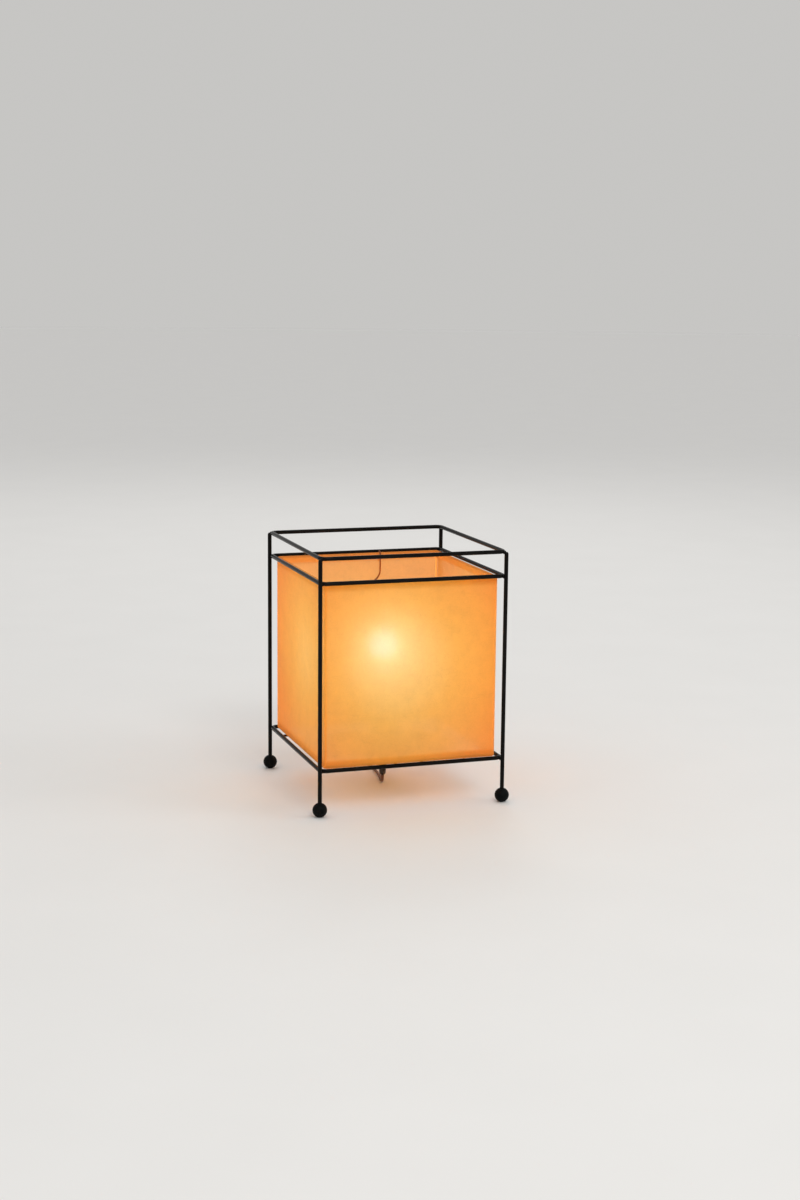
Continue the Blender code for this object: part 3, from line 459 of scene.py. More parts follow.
# %% Build the group for handling marks
handling = bpy.data.node_groups.new("handling_marks", "ShaderNodeTree")
handling.interface.new_socket("Size", in_out="INPUT", socket_type="NodeSocketFloat")
handling.interface.new_socket("Smudge", in_out="OUTPUT", socket_type="NodeSocketFloat")
handling.interface.new_socket("Grain", in_out="OUTPUT", socket_type="NodeSocketFloat")
group_in = handling.nodes.new("NodeGroupInput")
group_out = handling.nodes.new("NodeGroupOutput")
spot = object_spot(handling)
smudge_scale = sums(handling, "MULTIPLY", group_in.outputs["Size"], 60.0)
grain_scale = sums(handling, "MULTIPLY", group_in.outputs["Size"], 1100.0)
smudges = noise(handling, spot, smudge_scale, 4.0, 0.62)
connect(handling, group_out.inputs["Smudge"], ranged(handling, smudges, 0, 1, 0.34, 0.68))
connect(handling, group_out.inputs["Grain"], noise(handling, spot, grain_scale, 2.0))
print("handling marks:", len(handling.nodes), "nodes")


def handled(tree, size):
    """The group placed in a finish: its smudges and its grain."""
    group = place(tree, "Group", node_tree=handling)
    group.inputs["Size"].default_value = size
    return group.outputs["Smudge"], group.outputs["Grain"]


def bumped(tree, shader, height, strength, distance):
    """Raise the surface a little by a height."""
    inputs = {"Height": height, "Strength": strength, "Distance": distance}
    feed(shader, Normal=place(tree, "Bump", inputs).outputs["Normal"])


# %% Black lacquer for the rods
def marked_finish(name, clean, marked, gloss, dull, size=1.0, bump=0.05, **plain):
    """A finish whose colour and roughness wander between clean and handled."""
    finish, tree, shader = new_finish(name, **plain)
    smudge, fine_grain = handled(tree, size)
    feed(shader, Base_Color=blended(tree, smudge, clean, marked))
    feed(shader, Roughness=ranged(tree, smudge, gloss, dull))
    bumped(tree, shader, fine_grain, bump, 0.0002)
    return finish


lacquer = marked_finish(
    "black_lacquer",
    (0.0035, 0.0032, 0.0030),
    (0.0080, 0.0068, 0.0055),
    0.10,
    0.20,
    Specular_IOR_Level=0.06,
)
print("finish:", lacquer.name)

# %% Black stain for the balls
ball_black, tree, shader = new_finish("ball_black", Specular_IOR_Level=0.06)
smudge = handled(tree, 1.6)[0]
grain_way = place(tree, "Mapping", {"Vector": object_spot(tree), "Scale": (900, 900, 70)})
pores = ranged(tree, noise(tree, grain_way.outputs["Vector"], 1.0, 3.0), 0, 1, 0.40, 0.62)
feed(shader, Base_Color=blended(tree, pores, (0.0016, 0.0022, 0.0022), (0.0050, 0.0052, 0.0050)))
feed(shader, Roughness=ranged(tree, smudge, 0.42, 0.62))
bumped(tree, shader, pores, 0.25, 0.0001)
print("finish:", ball_black.name)

# %% [markdown]
# ## Posts, balls and hoops
#
# The frame is one length of steel rod after another: four straight posts, three hoops
# bent round a rounded square, and a wooden ball pushed on the foot of each post. Cylinders
# and a torus would be close, but the post tops are domed, the balls are drilled and have
# a small flat, and the hoops need tight corners. So posts and balls are turned and the
# hoop is a circle carried round its square.

# %% Turn a post and copy it to the corners
corners = {"front_left": (-1, -1), "front_right": (1, -1), "back_left": (-1, 1), "back_right": (1, 1)}
post_at = 0.092
rod_radius = 0.002
post_foot, post_top = heights_of("post_front_left")
dome = arc((0, post_top - rod_radius), rod_radius, 0, 90, 8)[:-1]
post_profile = [(0, post_foot), (0.0017, post_foot), (rod_radius, post_foot + 0.0003)]
post_profile += dome + [(0, post_top)]
post = turn_on_lathe("post", post_profile, 24)


def copy_to_corners(piece, name, finish, node):
    """Put a copy of a piece at each corner of the frame, and remove the first one."""
    for corner, (side_x, side_y) in corners.items():
        twin = copy_of(piece, f"{name}_{corner}", (side_x * post_at, side_y * post_at, 0))
        put_on(twin, finish, "frame", f"{node}_{corner}")
    bpy.data.objects.remove(piece)


copy_to_corners(post, "rod", lacquer, "post")
print("posts stand", round(2 * post_at * 1000), "mm apart")

# %% Turn a ball with its drilled socket
ball_middle = 0.00671
ball_radius = 0.007
socket_radius = 0.0023
socket_floor = 0.00632
lip = math.degrees(math.acos((socket_radius + 0.0002) / ball_radius))
flat = -math.degrees(math.acos(0.002 / ball_radius))
ball_profile = [(0, socket_floor), (socket_radius, socket_floor), (socket_radius, 0.0131)]
ball_profile += arc((0, ball_middle), ball_radius, lip, flat, 28) + [(0, 0)]
ball = turn_on_lathe("ball", ball_profile, 48)
print("ball faces", len(ball.data.polygons))
copy_to_corners(ball, "ball", ball_black, "ball_foot")

# %% Bend a hoop and copy it to its three heights
hoop_half = 0.090717
hoop_corner = 0.006
hoop_heights = {name: sum(heights_of(name)) / 2 for name in ("base_hoop", "shade_hoop", "top_hoop")}
hoop = carry_round_square("hoop", arc((0, 0), rod_radius, 0, 360, 20), hoop_half, hoop_corner, 2, 10)
for name, height in hoop_heights.items():
    bent = copy_of(hoop, f"bent_{name}", (0, 0, height))
    put_on(bent, lacquer, "frame", name)
bpy.data.objects.remove(hoop)
print("hoop faces", len(bent.data.polygons))

# %% [markdown]
# ## Welds
#
# Each hoop is spot welded to the posts at its corners, and the lacquer runs over the weld.
# A sharp gap there would look like loose rods. A bead could be sculpted, but a small
# turned form with a waist, copied to every crossing, already catches the light in the
# same way.

# %% Make one bead and copy it to the crossings
bead_profile = [(0, -0.0018), (0.0009, -0.0017), (0.0015, -0.0012), (0.0017, -0.0005), (0.0016, 0)]
bead_profile += [(radius, -height) for radius, height in reversed(bead_profile[:-1])]
bead = turn_on_lathe("bead", bead_profile, 16)
crossing = 0.09048
below_hoop = 0.0006
weld_places = [
    (side_x * crossing, side_y * crossing, height - below_hoop)
    for side_x, side_y in corners.values()
    for height in hoop_heights.values()
]
welds = [copy_of(bead, f"weld_{number:02d}", spot) for number, spot in enumerate(weld_places)]
for weld in welds:
    weld.data.materials.clear()
    weld.data.materials.append(lacquer)
    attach(weld, "frame")
bpy.data.objects.remove(bead)
print("welds:", len(welds))

# %% [markdown]
# ## Rests, bridge rods and plate
#
# Four short pins on the base hoop point inwards, and the shade stands on them. Two rods
# cross the base hoop and carry a round plate with the lampholder. All are the same
# lacquered steel, so each form is turned upright on the lathe and laid down afterwards,
# because a spin always goes round a vertical axis here.

# %% Turn the pins, the bridge rods and the plate
def turned_bar(name, radius, length, steps=20, edge=0.0003):
    """A straight bar with eased ends, standing on the origin."""
    profile = [(0, 0), (radius - edge, 0), (radius, edge), (radius, length - edge)]
    profile += [(radius - edge, length), (0, length)]
    return turn_on_lathe(name, profile, steps)


def lay_along_box(piece, node, axis):
    """Lay an upright bar down along X or Y, in the middle of a node's box."""
    run = "XY".index(axis)
    low, high = (Vector(end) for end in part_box(node))
    shift(piece, turn=90, axis="YX"[run])
    offset = (low + high) / 2
    offset[run] = low[run] - min(vertex.co[run] for vertex in piece.data.vertices)
    shift(piece, offset)


for node, axis in (
    ("rest_pin_front", "Y"),
    ("rest_pin_back", "Y"),
    ("rest_pin_left", "X"),
    ("rest_pin_right", "X"),
    ("bridge_rod_left", "Y"),
    ("bridge_rod_right", "Y"),
):
    low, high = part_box(node)
    size = Vector(high) - Vector(low)
    bar = turned_bar(node + "_bar", size.z / 2, size.x if axis == "X" else size.y)
    lay_along_box(bar, node, axis)
    put_on(bar, lacquer, "frame", node)
    print(node, "length", round(max(size) * 1000, 1), "mm")

plate_low, plate_high = heights_of("holder_plate")
hole, rim, edge = 0.0053, 0.018485, 0.0004
plate_profile = [(hole, plate_low), (rim - edge, plate_low), (rim, plate_low + edge)]
plate_profile += [(rim, plate_high - edge), (rim - edge, plate_high), (hole, plate_high), (hole, plate_low)]
plate = turn_on_lathe("carrier_plate", plate_profile, 64)
put_on(plate, lacquer, "frame", "holder_plate")

# %% [markdown]
# ## Rice paper
#
# Paper lets light through and spreads it, so a lit shade glows all over, warmest far from
# the bulb, and a soft bright spot shows where the eye looks straight at the bulb. That
# spot belongs to the view, so it is left to the shader: most of the light goes through the
# paper, blurred by its roughness, and a little goes straight through between the fibres.
# What the paper scatters many times over is painted on as an emission, a painted glow
# whose colour depends on the distance to the light, pale where the paper is close and a
# deep amber far away. The light lies a little in front of the bulb's middle and left of it.
# Long fibres and a faint mottling darken it. Where the paper lies double, at the glued lap
# and on the outside of the hems, and in a thin band along the upper and lower rims, masks
# paint shade: the glow is dimmer and the sheet's colour darker there.

# %% Distances and masks on the paper
globe_radius = 0.0225
bulb_middle = (0, 0, heights_of("bulb_glass")[1] - globe_radius)
shade_half = 0.086517
shade_foot, shade_rim = heights_of("shade_paper")
hem_depth = 0.007
paper, tree, shader = new_finish(
    "rice_paper",
    Transmission_Weight=0.72,
    IOR=1.4,
    Specular_IOR_Level=0.05,
    Alpha=0.855,
    Emission_Strength=1.0,
)
spot = object_spot(tree)
part = parts_of(tree, spot)
light_middle = (-0.012, -0.026, bulb_middle[2])
closest = shade_half + light_middle[1]
from_light = place(tree, "VectorMath", {0: spot, 1: light_middle}, operation="DISTANCE")
near = sums(tree, "POWER", sums(tree, "DIVIDE", closest, from_light.outputs["Value"]), 2.0)
lower_end, upper_end = shade_foot + hem_depth, shade_rim - hem_depth
lower_hem = ranged(tree, part["Z"], 1, 0, lower_end - 0.0015, lower_end + 0.0010)
upper_hem = ranged(tree, part["Z"], 0, 1, upper_end - 0.0025, upper_end)
from_axis = sums(tree, "MAXIMUM", sums(tree, "ABSOLUTE", part["X"]), sums(tree, "ABSOLUTE", part["Y"]))
outside = ranged(tree, from_axis, 0, 1, shade_half - 0.0026, shade_half - 0.0014)
hems = sums(tree, "MULTIPLY", outside, sums(tree, "MAXIMUM", lower_hem, upper_hem))
# Painted shade: a thin band along the upper and lower rims, darker in colour and glow.
edge_depth = 0.0022
lower_rim_shade = ranged(tree, part["Z"], 1, 0, shade_foot, shade_foot + edge_depth)
upper_rim_shade = ranged(tree, part["Z"], 0, 1, shade_rim - edge_depth, shade_rim)
edges = sums(tree, "MAXIMUM", lower_rim_shade, upper_rim_shade)
lap_x = ranged(tree, part["X"], 1, 0, -0.0845, -0.0835)
lap_y = ranged(tree, part["Y"], 1, 0, -0.0800, -0.0790)
# Painted shade where the paper lies double: on the outside of the hems and at the glued lap.
doubled_paper_shade = sums(tree, "MAXIMUM", hems, sums(tree, "MULTIPLY", lap_x, lap_y, 0.5))
print("paper from", shade_foot, "to", shade_rim)


# %% Fibres and mottling
def fibre_mask(stretch, turn, scale, width):
    """Thin threads: the places where a stretched noise crosses its middle value."""
    inputs = {"Vector": spot, "Rotation": turn, "Scale": stretch}
    turned_spot = place(tree, "Mapping", inputs).outputs["Vector"]
    off_middle = sums(tree, "SUBTRACT", noise(tree, turned_spot, scale, 1.0), 0.5)
    return ranged(tree, sums(tree, "ABSOLUTE", off_middle), 1, 0, 0, width)


level_fibres = fibre_mask((1, 1, 5), (0.3, 0.25, 0.0), 34.0, 0.012)
steep_fibres = fibre_mask((4, 4, 1), (0.2, -0.4, 0.5), 40.0, 0.010)
curled_fibres = fibre_mask((1, 1, 1), (0.0, 0.0, 0.0), 75.0, 0.007)
fibres = sums(tree, "MAXIMUM", level_fibres, steep_fibres, curled_fibres)
cloudy = noise(tree, spot, 110.0, 5.0, 0.65)
speckle = noise(tree, spot, 900.0, 2.0)
even = sums(
    tree,
    "MULTIPLY",
    ranged(tree, cloudy, 0.94, 1.04, 0.3, 0.7),
    ranged(tree, speckle, 0.97, 1.03, 0.3, 0.7),
    ranged(tree, fibres, 1.0, 0.94),
)
print("nodes in the paper:", len(tree.nodes))

# %% Glow of the paper
glow = ramped(
    tree,
    near,
    (0.2, (0.222, 0.058, 0.001)),
    (0.3, (0.230, 0.096, 0.006)),
    (0.5, (0.240, 0.146, 0.022)),
    (0.7, (0.255, 0.200, 0.058)),
    (1.0, (0.265, 0.238, 0.092)),
)
# The glow is dimmed by the mottling and fibres, and by painted shade where the paper lies
# double and along the rims, where the sheet's colour is painted darker too.
dimmed = sums(tree, "MULTIPLY", even, ranged(tree, doubled_paper_shade, 1.0, 0.95), ranged(tree, edges, 1.0, 0.95))
sheet_colour = blended(tree, doubled_paper_shade, (0.74, 0.47, 0.17), (0.64, 0.38, 0.12))
sheet_colour = blended(tree, edges, sheet_colour, (0.52, 0.26, 0.08))
feed(
    shader,
    Base_Color=scaled(tree, sheet_colour, even),
    Emission_Color=scaled(tree, glow, dimmed),
    Roughness=ranged(tree, cloudy, 0.90, 0.98, 0.3, 0.7),
)
bumped(tree, shader, sums(tree, "ADD", fibres, speckle), 0.12, 0.0002)
print("finish:", paper.name)

# %% [markdown]
# ## Shade
#
# The shade is one sheet folded round four corners, with its upper and lower edges turned
# in over a wire ring. A cube with its ends removed would have no hems. So the sheet's own
# line, from the inner end of the lower hem up the wall to the inner end of the upper hem,
# is carried round the square. Paper is never quite flat, so a gentle Displace moves the
# panels, fading out at the hems and corners, and Solidify gives the sheet its thickness.

# %% Carry the sheet round the square
paper_thickness = 0.0005
fold_radius = 0.0017
corner_radius = 0.004
wall_steps = 28
sheet_radius = fold_radius - paper_thickness / 2
inner_out = -fold_radius - sheet_radius
low_fold = (-fold_radius, shade_foot + fold_radius)
high_fold = (-fold_radius, shade_rim - fold_radius)
sheet_line = [(inner_out, shade_foot + hem_depth)]
sheet_line += arc(low_fold, sheet_radius, -180, 0, 8)
wall_low, wall_high = low_fold[1], high_fold[1]
wall_heights = np.linspace(wall_low, wall_high, wall_steps + 1)[1:-1]
sheet_line += [(-paper_thickness / 2, float(height)) for height in wall_heights]
sheet_line += arc(high_fold, sheet_radius, 0, 180, 8)
sheet_line += [(inner_out, shade_rim - hem_depth)]
shade_sheet = carry_round_square("shade_sheet", sheet_line, shade_half, corner_radius, wall_steps, 6)
face_out(shade_sheet)
print("sheet faces", len(shade_sheet.data.polygons))

# %% Ripple the panels and give the sheet its thickness
loose = shade_sheet.vertex_groups.new(name="loose")
fade = 0.030
for vertex in shade_sheet.data.vertices:
    x, y, z = vertex.co
    along_wall = min(abs(x), abs(y))
    from_corner = eased((shade_half - corner_radius - along_wall) / fade)
    from_hem = eased(min(z - lower_end, upper_end - z) / fade)
    loose.add([vertex.index], from_corner * from_hem, "REPLACE")


def apply_modifier(piece, kind, **settings):
    """Put a modifier on a piece, set it and apply it."""
    select_only(piece)
    modifier = piece.modifiers.new(kind.lower(), kind)
    for setting, value in settings.items():
        setattr(modifier, setting, value)
    bpy.ops.object.modifier_apply(modifier=modifier.name)


ripples = bpy.data.textures.new("paper_ripples", "CLOUDS")
ripples.noise_scale = 0.055
apply_modifier(shade_sheet, "DISPLACE", texture=ripples, strength=0.0016, vertex_group="loose")
apply_modifier(shade_sheet, "SOLIDIFY", thickness=paper_thickness, offset=0.0)
select_only(shade_sheet)
bpy.ops.object.shade_smooth_by_angle(angle=math.radians(40))
put_on(shade_sheet, paper, "shade", "shade_paper")

# %% [markdown]
# ## Wires in the shade
#
# A thin wire stands in each corner of the shade and a ring lies in each hem. A wire
# with one curled end hangs over the back rim and springs against the hoop, which keeps
# the shade from rattling. The straight wires are turned, and the curled one is a tube along
# its line, as it was bent from one piece.

# %% Plain wire and copper wash
shade_wire = marked_finish(
    "shade_wire", (0.50, 0.42, 0.30), (0.30, 0.23, 0.15), 0.30, 0.52, size=1.5, bump=0.1, Metallic=1.0
)
copper_wash = marked_finish(
    "copper_wash", (0.46, 0.17, 0.075), (0.20, 0.070, 0.032), 0.26, 0.48, size=2.0, bump=0.1, Metallic=1.0
)
# The corner wires are wrapped in the paper, so they get a painted glow: an amber emission like the paper's
# own.
papered_glow = marked_finish(
    "papered_wire",
    (0.74, 0.47, 0.20),
    (0.66, 0.39, 0.15),
    0.70,
    0.90,
    Specular_IOR_Level=0.05,
    Emission_Color=(0.50, 0.19, 0.03),
    Emission_Strength=1.0,
)
print("finishes:", shade_wire.name, copper_wash.name, papered_glow.name)

# %% Corner wires and the curled clip
for corner in corners:
    node = f"shade_upright_{corner}"
    low, high = (Vector(end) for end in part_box(node))
    upright = turned_bar(f"corner_wire_{corner}", (high.x - low.x) / 2, high.z - low.z, 12, 0.0002)
    shift(upright, ((low.x + high.x) / 2, (low.y + high.y) / 2, low.z))
    put_on(upright, papered_glow, "shade", node)

clip_x = 0.0225
outer_leg, inner_leg = 0.087617, 0.082017
bend_radius = (outer_leg - inner_leg) / 2
bend_height = shade_rim - fold_radius
curl_height = shade_rim - 0.018
curl_radius = 0.012
clip_line = [(clip_x, outer_leg, bend_height - 0.008)]
over_rim = arc((inner_leg + bend_radius, bend_height), bend_radius, 0, 180, 16)
clip_line += [(clip_x, y, z) for y, z in over_rim]
curl = arc((clip_x - curl_radius, curl_height), curl_radius, 0, -90, 14)
clip_line += [(x, inner_leg, z) for x, z in curl]
clip_line += [(clip_x - curl_radius - 0.003, inner_leg, curl_height - curl_radius)]
clip = wire_along("curled_clip", clip_line, 0.0016)
put_on(clip, copper_wash, "shade", "shade_clip")
print("clip length", round(line_length(np.array(clip_line)) * 1000), "mm")

# %% [markdown]
# ## Lampholder and cord grip
#
# A cream moulded lampholder sits on the plate: a base that screws on the threaded pipe, and
# a skirt round the brass shell. Under the plate a dark ribbed grip holds the flex. A dark
# holder would show through the lit paper as a shadow under the bulb; a pale one does not.
# Moulded plastic has eased edges, so each profile turns its corners in small steps instead
# of waiting for a bevel afterwards.

# %% Dark and cream moulded plastic
dark_plastic = marked_finish(
    "dark_moulding", (0.022, 0.015, 0.012), (0.040, 0.029, 0.023), 0.22, 0.40, size=1.2, bump=0.08
)
cream_plastic = marked_finish(
    "cream_moulding", (0.78, 0.71, 0.58), (0.66, 0.57, 0.43), 0.24, 0.42, size=1.2, bump=0.08
)
print("finishes:", dark_plastic.name, cream_plastic.name)


# %% Turn the holder and the grip
def eased_corners(points, edge):
    """A closed profile with each corner cut back a little on both sides."""
    eased_points = []
    count = len(points)
    for number, point in enumerate(points):
        here = Vector(point)
        for neighbour in (points[number - 1], points[(number + 1) % count]):
            towards = Vector(neighbour) - here
            eased_points.append(tuple(here + towards.normalized() * min(edge, towards.length / 3)))
    return eased_points + eased_points[:1]


base_low = heights_of("holder_base")[0]
base_outline = (
    (0.0053, 0), (0.0105, 0), (0.0105, 0.003), (0.0140, 0.009), (0.0140, 0.0180),
    (0.0124, 0.0180), (0.0124, 0.0106), (0.0089, 0.0046), (0.0089, 0.003), (0.0053, 0.003),
)
holder_base = [(radius, base_low + height) for radius, height in base_outline]
base = turn_on_lathe("moulded_base", eased_corners(holder_base, 0.0004), 56)
put_on(base, cream_plastic, "frame", "holder_base")
skirt_low, skirt_high = heights_of("holder_skirt")
skirt = [(0.0124, skirt_low), (0.0140, skirt_low)]
for groove in range(3):
    groove_z = skirt_low + 0.006 + 0.004 * groove
    skirt += [(0.0140, groove_z), (0.01355, groove_z + 0.0006), (0.0140, groove_z + 0.0012)]
skirt += [(0.0140, skirt_high), (0.0124, skirt_high)]
moulded_skirt = turn_on_lathe("moulded_skirt", eased_corners(skirt, 0.0003), 56)
put_on(moulded_skirt, cream_plastic, "frame", "holder_skirt")
print("skirt faces", len(moulded_skirt.data.polygons))

# %% Turn the ribbed grip
grip_low, grip_high = heights_of("cord_grip")
mouth_radius, tip_radius, head_radius = 0.0018, 0.0034, 0.0070
tip_top = grip_low + 0.0045
shoulder = grip_high - 0.010
socket_floor = heights_of("threaded_nipple")[0] - 0.0003
grip = [(0, grip_low)]
for across, above in arc((0, 1), 1, -90, 0, 10):
    radius = mouth_radius + (tip_radius - mouth_radius) * across
    grip.append((radius, grip_low + (tip_top - grip_low) * above))
for rib in range(4):
    for share, depth in ((0.35, 0), (0.42, 0.0005), (0.73, 0.0005), (0.80, 0)):
        along = (rib + share) / 4
        radius = tip_radius + (head_radius - tip_radius) * along ** 1.3
        grip.append((radius - depth, tip_top + (shoulder - tip_top) * along))
grip += [(head_radius, shoulder), (head_radius, grip_high - 0.0004), (head_radius - 0.0004, grip_high)]
grip += [(0.0053, grip_high), (0.0053, socket_floor), (0, socket_floor)]
ribbed_grip = turn_on_lathe("ribbed_grip", grip, 40)
put_on(ribbed_grip, dark_plastic, "frame", "cord_grip")
print("grip faces", len(ribbed_grip.data.polygons))

# %% [markdown]
# ## Bulb
#
# The bulb is a small opal globe on a screw cap. Opal glass spreads the light of its
# filament over the whole globe, so the glass itself is the light here, dimmer towards the
# neck. Light that leaves the glass at a slant has come a longer way through it, so the rim
# is dimmer and warmer than the middle. The globe is turned with its inner wall, and the cap
# with rounded thread ridges.

# %% Opal glass and plated metals
opal, tree, shader = new_finish("opal_glass", Roughness=0.18, Emission_Strength=5.6)
spot = object_spot(tree)
neck_z = heights_of("bulb_glass")[0]
upward = ranged(tree, parts_of(tree, spot)["Z"], 0, 1, neck_z, neck_z + 0.023)
swirl = noise(tree, spot, 130.0, 3.0)
bright = sums(tree, "MULTIPLY", upward, ranged(tree, swirl, 0.94, 1.0, 0.3, 0.7))
slant = place(tree, "LayerWeight", {"Blend": 0.5}).outputs["Facing"]
lit_glass = ramped(
    tree,
    sums(tree, "SUBTRACT", 1.0, slant),
    (0.0, (0.075, 0.034, 0.010)),
    (0.4, (0.140, 0.092, 0.065)),
    (0.7, (0.400, 0.330, 0.340)),
    (1.0, (0.960, 0.900, 1.550)),
)
feed(
    shader,
    Emission_Color=blended(tree, bright, (0.060, 0.035, 0.015), lit_glass),
    Base_Color=blended(tree, swirl, (0.80, 0.75, 0.66), (0.90, 0.87, 0.80)),
)
zinc = marked_finish(
    "zinc", (0.64, 0.64, 0.62), (0.42, 0.41, 0.39), 0.26, 0.46, size=2.2, bump=0.1, Metallic=1.0
)
brass = marked_finish(
    "brass", (0.72, 0.52, 0.22), (0.42, 0.27, 0.09), 0.22, 0.42, size=2.0, bump=0.1, Metallic=1.0
)
print("finishes:", opal.name, zinc.name, brass.name)

# %% Turn the globe and its cap
globe_middle = bulb_middle[2]
neck_radius = 0.0088
meeting_angle = -48


def bulb_outline(inset, steps):
    """The bulb's outline from neck to crown, moved in by a wall."""
    radius = globe_radius - inset
    meets = math.radians(meeting_angle)
    joint = Vector((radius * math.cos(meets), globe_middle + radius * math.sin(meets)))
    along = Vector((math.sin(-meets), math.cos(meets)))
    start = Vector((neck_radius - inset, neck_z))
    pull = (joint - start).length / 2
    handles = (start, start + Vector((0, pull)), joint - along * pull, joint)
    outline = []
    for step in range(steps):
        share = step / steps
        left = 1 - share
        weights = (left ** 3, 3 * left ** 2 * share, 3 * left * share ** 2, share ** 3)
        outline.append(tuple(sum((handle * w for handle, w in zip(handles, weights)), Vector((0, 0)))))
    outline += arc((0, globe_middle), radius, meeting_angle, 90, 3 * steps)[:-1]
    return outline + [(0, globe_middle + radius)]


globe_profile = bulb_outline(0, 10) + bulb_outline(0.0008, 10)[::-1]
globe = turn_on_lathe("opal_globe", globe_profile + globe_profile[:1], 64)
put_on(globe, opal, "bulb", "bulb_glass")
cap_low = heights_of("bulb_cap")[0]
root, thread_height, collar = 0.00625, 0.018, 0.0083
ridge_outline = ((0.15, root), (0.35, 0.0067), (0.5, 0.00695), (0.65, 0.0067), (0.85, root))
cap = [(0, cap_low), (root, cap_low)]
for ridge in range(6):
    cap += [(radius, cap_low + thread_height * (ridge + share) / 6) for share, radius in ridge_outline]
cap += [(root, cap_low + thread_height), (0.0081, cap_low + thread_height), (collar, cap_low + 0.0182)]
cap += [(collar, cap_low + 0.0202), (0.0081, cap_low + 0.0204), (0, cap_low + 0.0204)]
screw_cap = turn_on_lathe("screw_cap", cap, 40)
put_on(screw_cap, zinc, "bulb", "bulb_cap")
print("globe faces", len(globe.data.polygons), "cap faces", len(screw_cap.data.polygons))

# %% [markdown]
# ## Switch and plug
#
# The switch is two moulded half shells with a rocker, and the plug a flat moulding with
# two round pins. A box with soft corners is the natural start for both: its upright edges
# are bevelled first, then the rim, and the open side is taken away before Solidify gives
# the shell its wall. The plug's back is pulled out of its box face by face.

# %% Brown moulded plastic
brown_plastic = marked_finish(
    "brown_moulding", (0.120, 0.045, 0.020), (0.165, 0.072, 0.036), 0.24, 0.42, size=1.1, bump=0.1
)
print("finish:", brown_plastic.name)


# %% Box helpers
def start_box(name, low, high):
    """A box between two corners, in edit mode with nothing selected."""
    piece = start_piece(name, bpy.ops.mesh.primitive_cube_add, size=1)
    bpy.ops.mesh.select_all(action="SELECT")
    bpy.ops.transform.resize(value=Vector(high) - Vector(low))
    bpy.ops.transform.translate(value=(Vector(high) + Vector(low)) / 2)
    bpy.ops.mesh.select_all(action="DESELECT")
    return piece


def select_where(piece, kind, wanted):
    """Select the edges or the faces of a piece that pass a test."""
    bpy.ops.mesh.select_mode(type=kind)
    bpy.ops.mesh.select_all(action="DESELECT")
    bpy.ops.object.mode_set(mode="OBJECT")
    for element in piece.data.edges if kind == "EDGE" else piece.data.polygons:
        element.select = wanted(element)
    bpy.ops.object.mode_set(mode="EDIT")


def select_edges(piece, wanted):
    """Select the edges whose two ends pass a test."""
    select_where(piece, "EDGE", lambda edge: wanted(*(piece.data.vertices[i].co for i in edge.vertices)))


def select_faces(piece, wanted):
    """Select the faces that pass a test of their normal and middle."""
    select_where(piece, "FACE", lambda face: wanted(face.normal, face.center))


# %% Mould the two half shells
def half_shell(name, low, high, open_up):
    """Half of the switch: a box with round upright edges, an eased rim and one open side."""
    piece = start_box(name, low, high)
    closed_z = low[2] if open_up else high[2]
    select_edges(piece, lambda a, b: abs(a.z - b.z) > 0.001)
    bpy.ops.mesh.bevel(offset=0.007, segments=8, affect="EDGES")
    select_edges(piece, lambda a, b: abs(a.z - closed_z) < 1e-5 and abs(b.z - closed_z) < 1e-5)
    bpy.ops.mesh.bevel(offset=0.002, segments=4, affect="EDGES")
    open_z = high[2] if open_up else low[2]
    select_faces(piece, lambda normal, middle: abs(middle.z - open_z) < 1e-5)
    bpy.ops.mesh.delete(type="FACE")
    return piece


def finish_shell(piece, node):
    """Close up a half shell, give it its wall and put it on the frame."""
    close_up(40)
    face_out(piece)
    apply_modifier(piece, "SOLIDIFY", thickness=0.0016, offset=-1.0)
    put_on(piece, brown_plastic, "frame", node)


switch_low = (0.045, 0.104)
switch_high = (0.099, 0.124)
lower_shell = half_shell("lower_half", (*switch_low, 0.0), (*switch_high, 0.008), True)
finish_shell(lower_shell, "switch_lower_shell")
upper_shell = half_shell("upper_half", (*switch_low, 0.0083), (*switch_high, 0.0163), False)
select_faces(upper_shell, lambda normal, middle: middle.z > 0.0162 and normal.z > 0.99)
bpy.ops.mesh.inset(thickness=0.0031)
bpy.ops.transform.resize(value=(0.4195, 0.9796, 1.0), center_override=(0.072, 0.114, 0.0163))
bpy.ops.mesh.delete(type="FACE")
finish_shell(upper_shell, "switch_upper_shell")
print("shell faces", len(lower_shell.data.polygons), len(upper_shell.data.polygons))

# %% Pull the plug out of its box
plug_box = start_box("moulded_plug", (0.0765, 0.129, 0.0), (0.095, 0.155, 0.0135))
select_edges(plug_box, lambda a, b: abs(a.x - b.x) > 0.001)
bpy.ops.mesh.bevel(offset=0.0045, segments=6, affect="EDGES")
select_faces(plug_box, lambda normal, middle: normal.x < -0.99)
for run, wide, thick in (
    (-0.0045, 0.82, 0.95),
    (-0.0040, 0.66, 0.84),
    (-0.0020, 0.72, 0.88),
    (-0.0020, 0.90, 0.95),
    (-0.0050, 0.80, 0.84),
):
    bpy.ops.mesh.extrude_region_move(TRANSFORM_OT_translate={"value": (run, 0, 0)})
    bpy.ops.transform.resize(value=(1.0, wide, thick), center_override=(0.07, 0.142, 0.00675))
select_edges(plug_box, lambda a, b: a.x > 0.0949 and b.x > 0.0949)
bpy.ops.mesh.bevel(offset=0.0008, segments=3, affect="EDGES")
close_up(50)
put_on(plug_box, brown_plastic, "frame", "plug_body")
print("plug faces", len(plug_box.data.polygons))

# %% Put the flex on the frame and hide the model's own flex
for flex_piece in (flex_front, flex_back):
    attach(flex_piece, "frame")
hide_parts("flex_to_switch")
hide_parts("flex_to_coil", "flex_coil", "flex_to_plug")

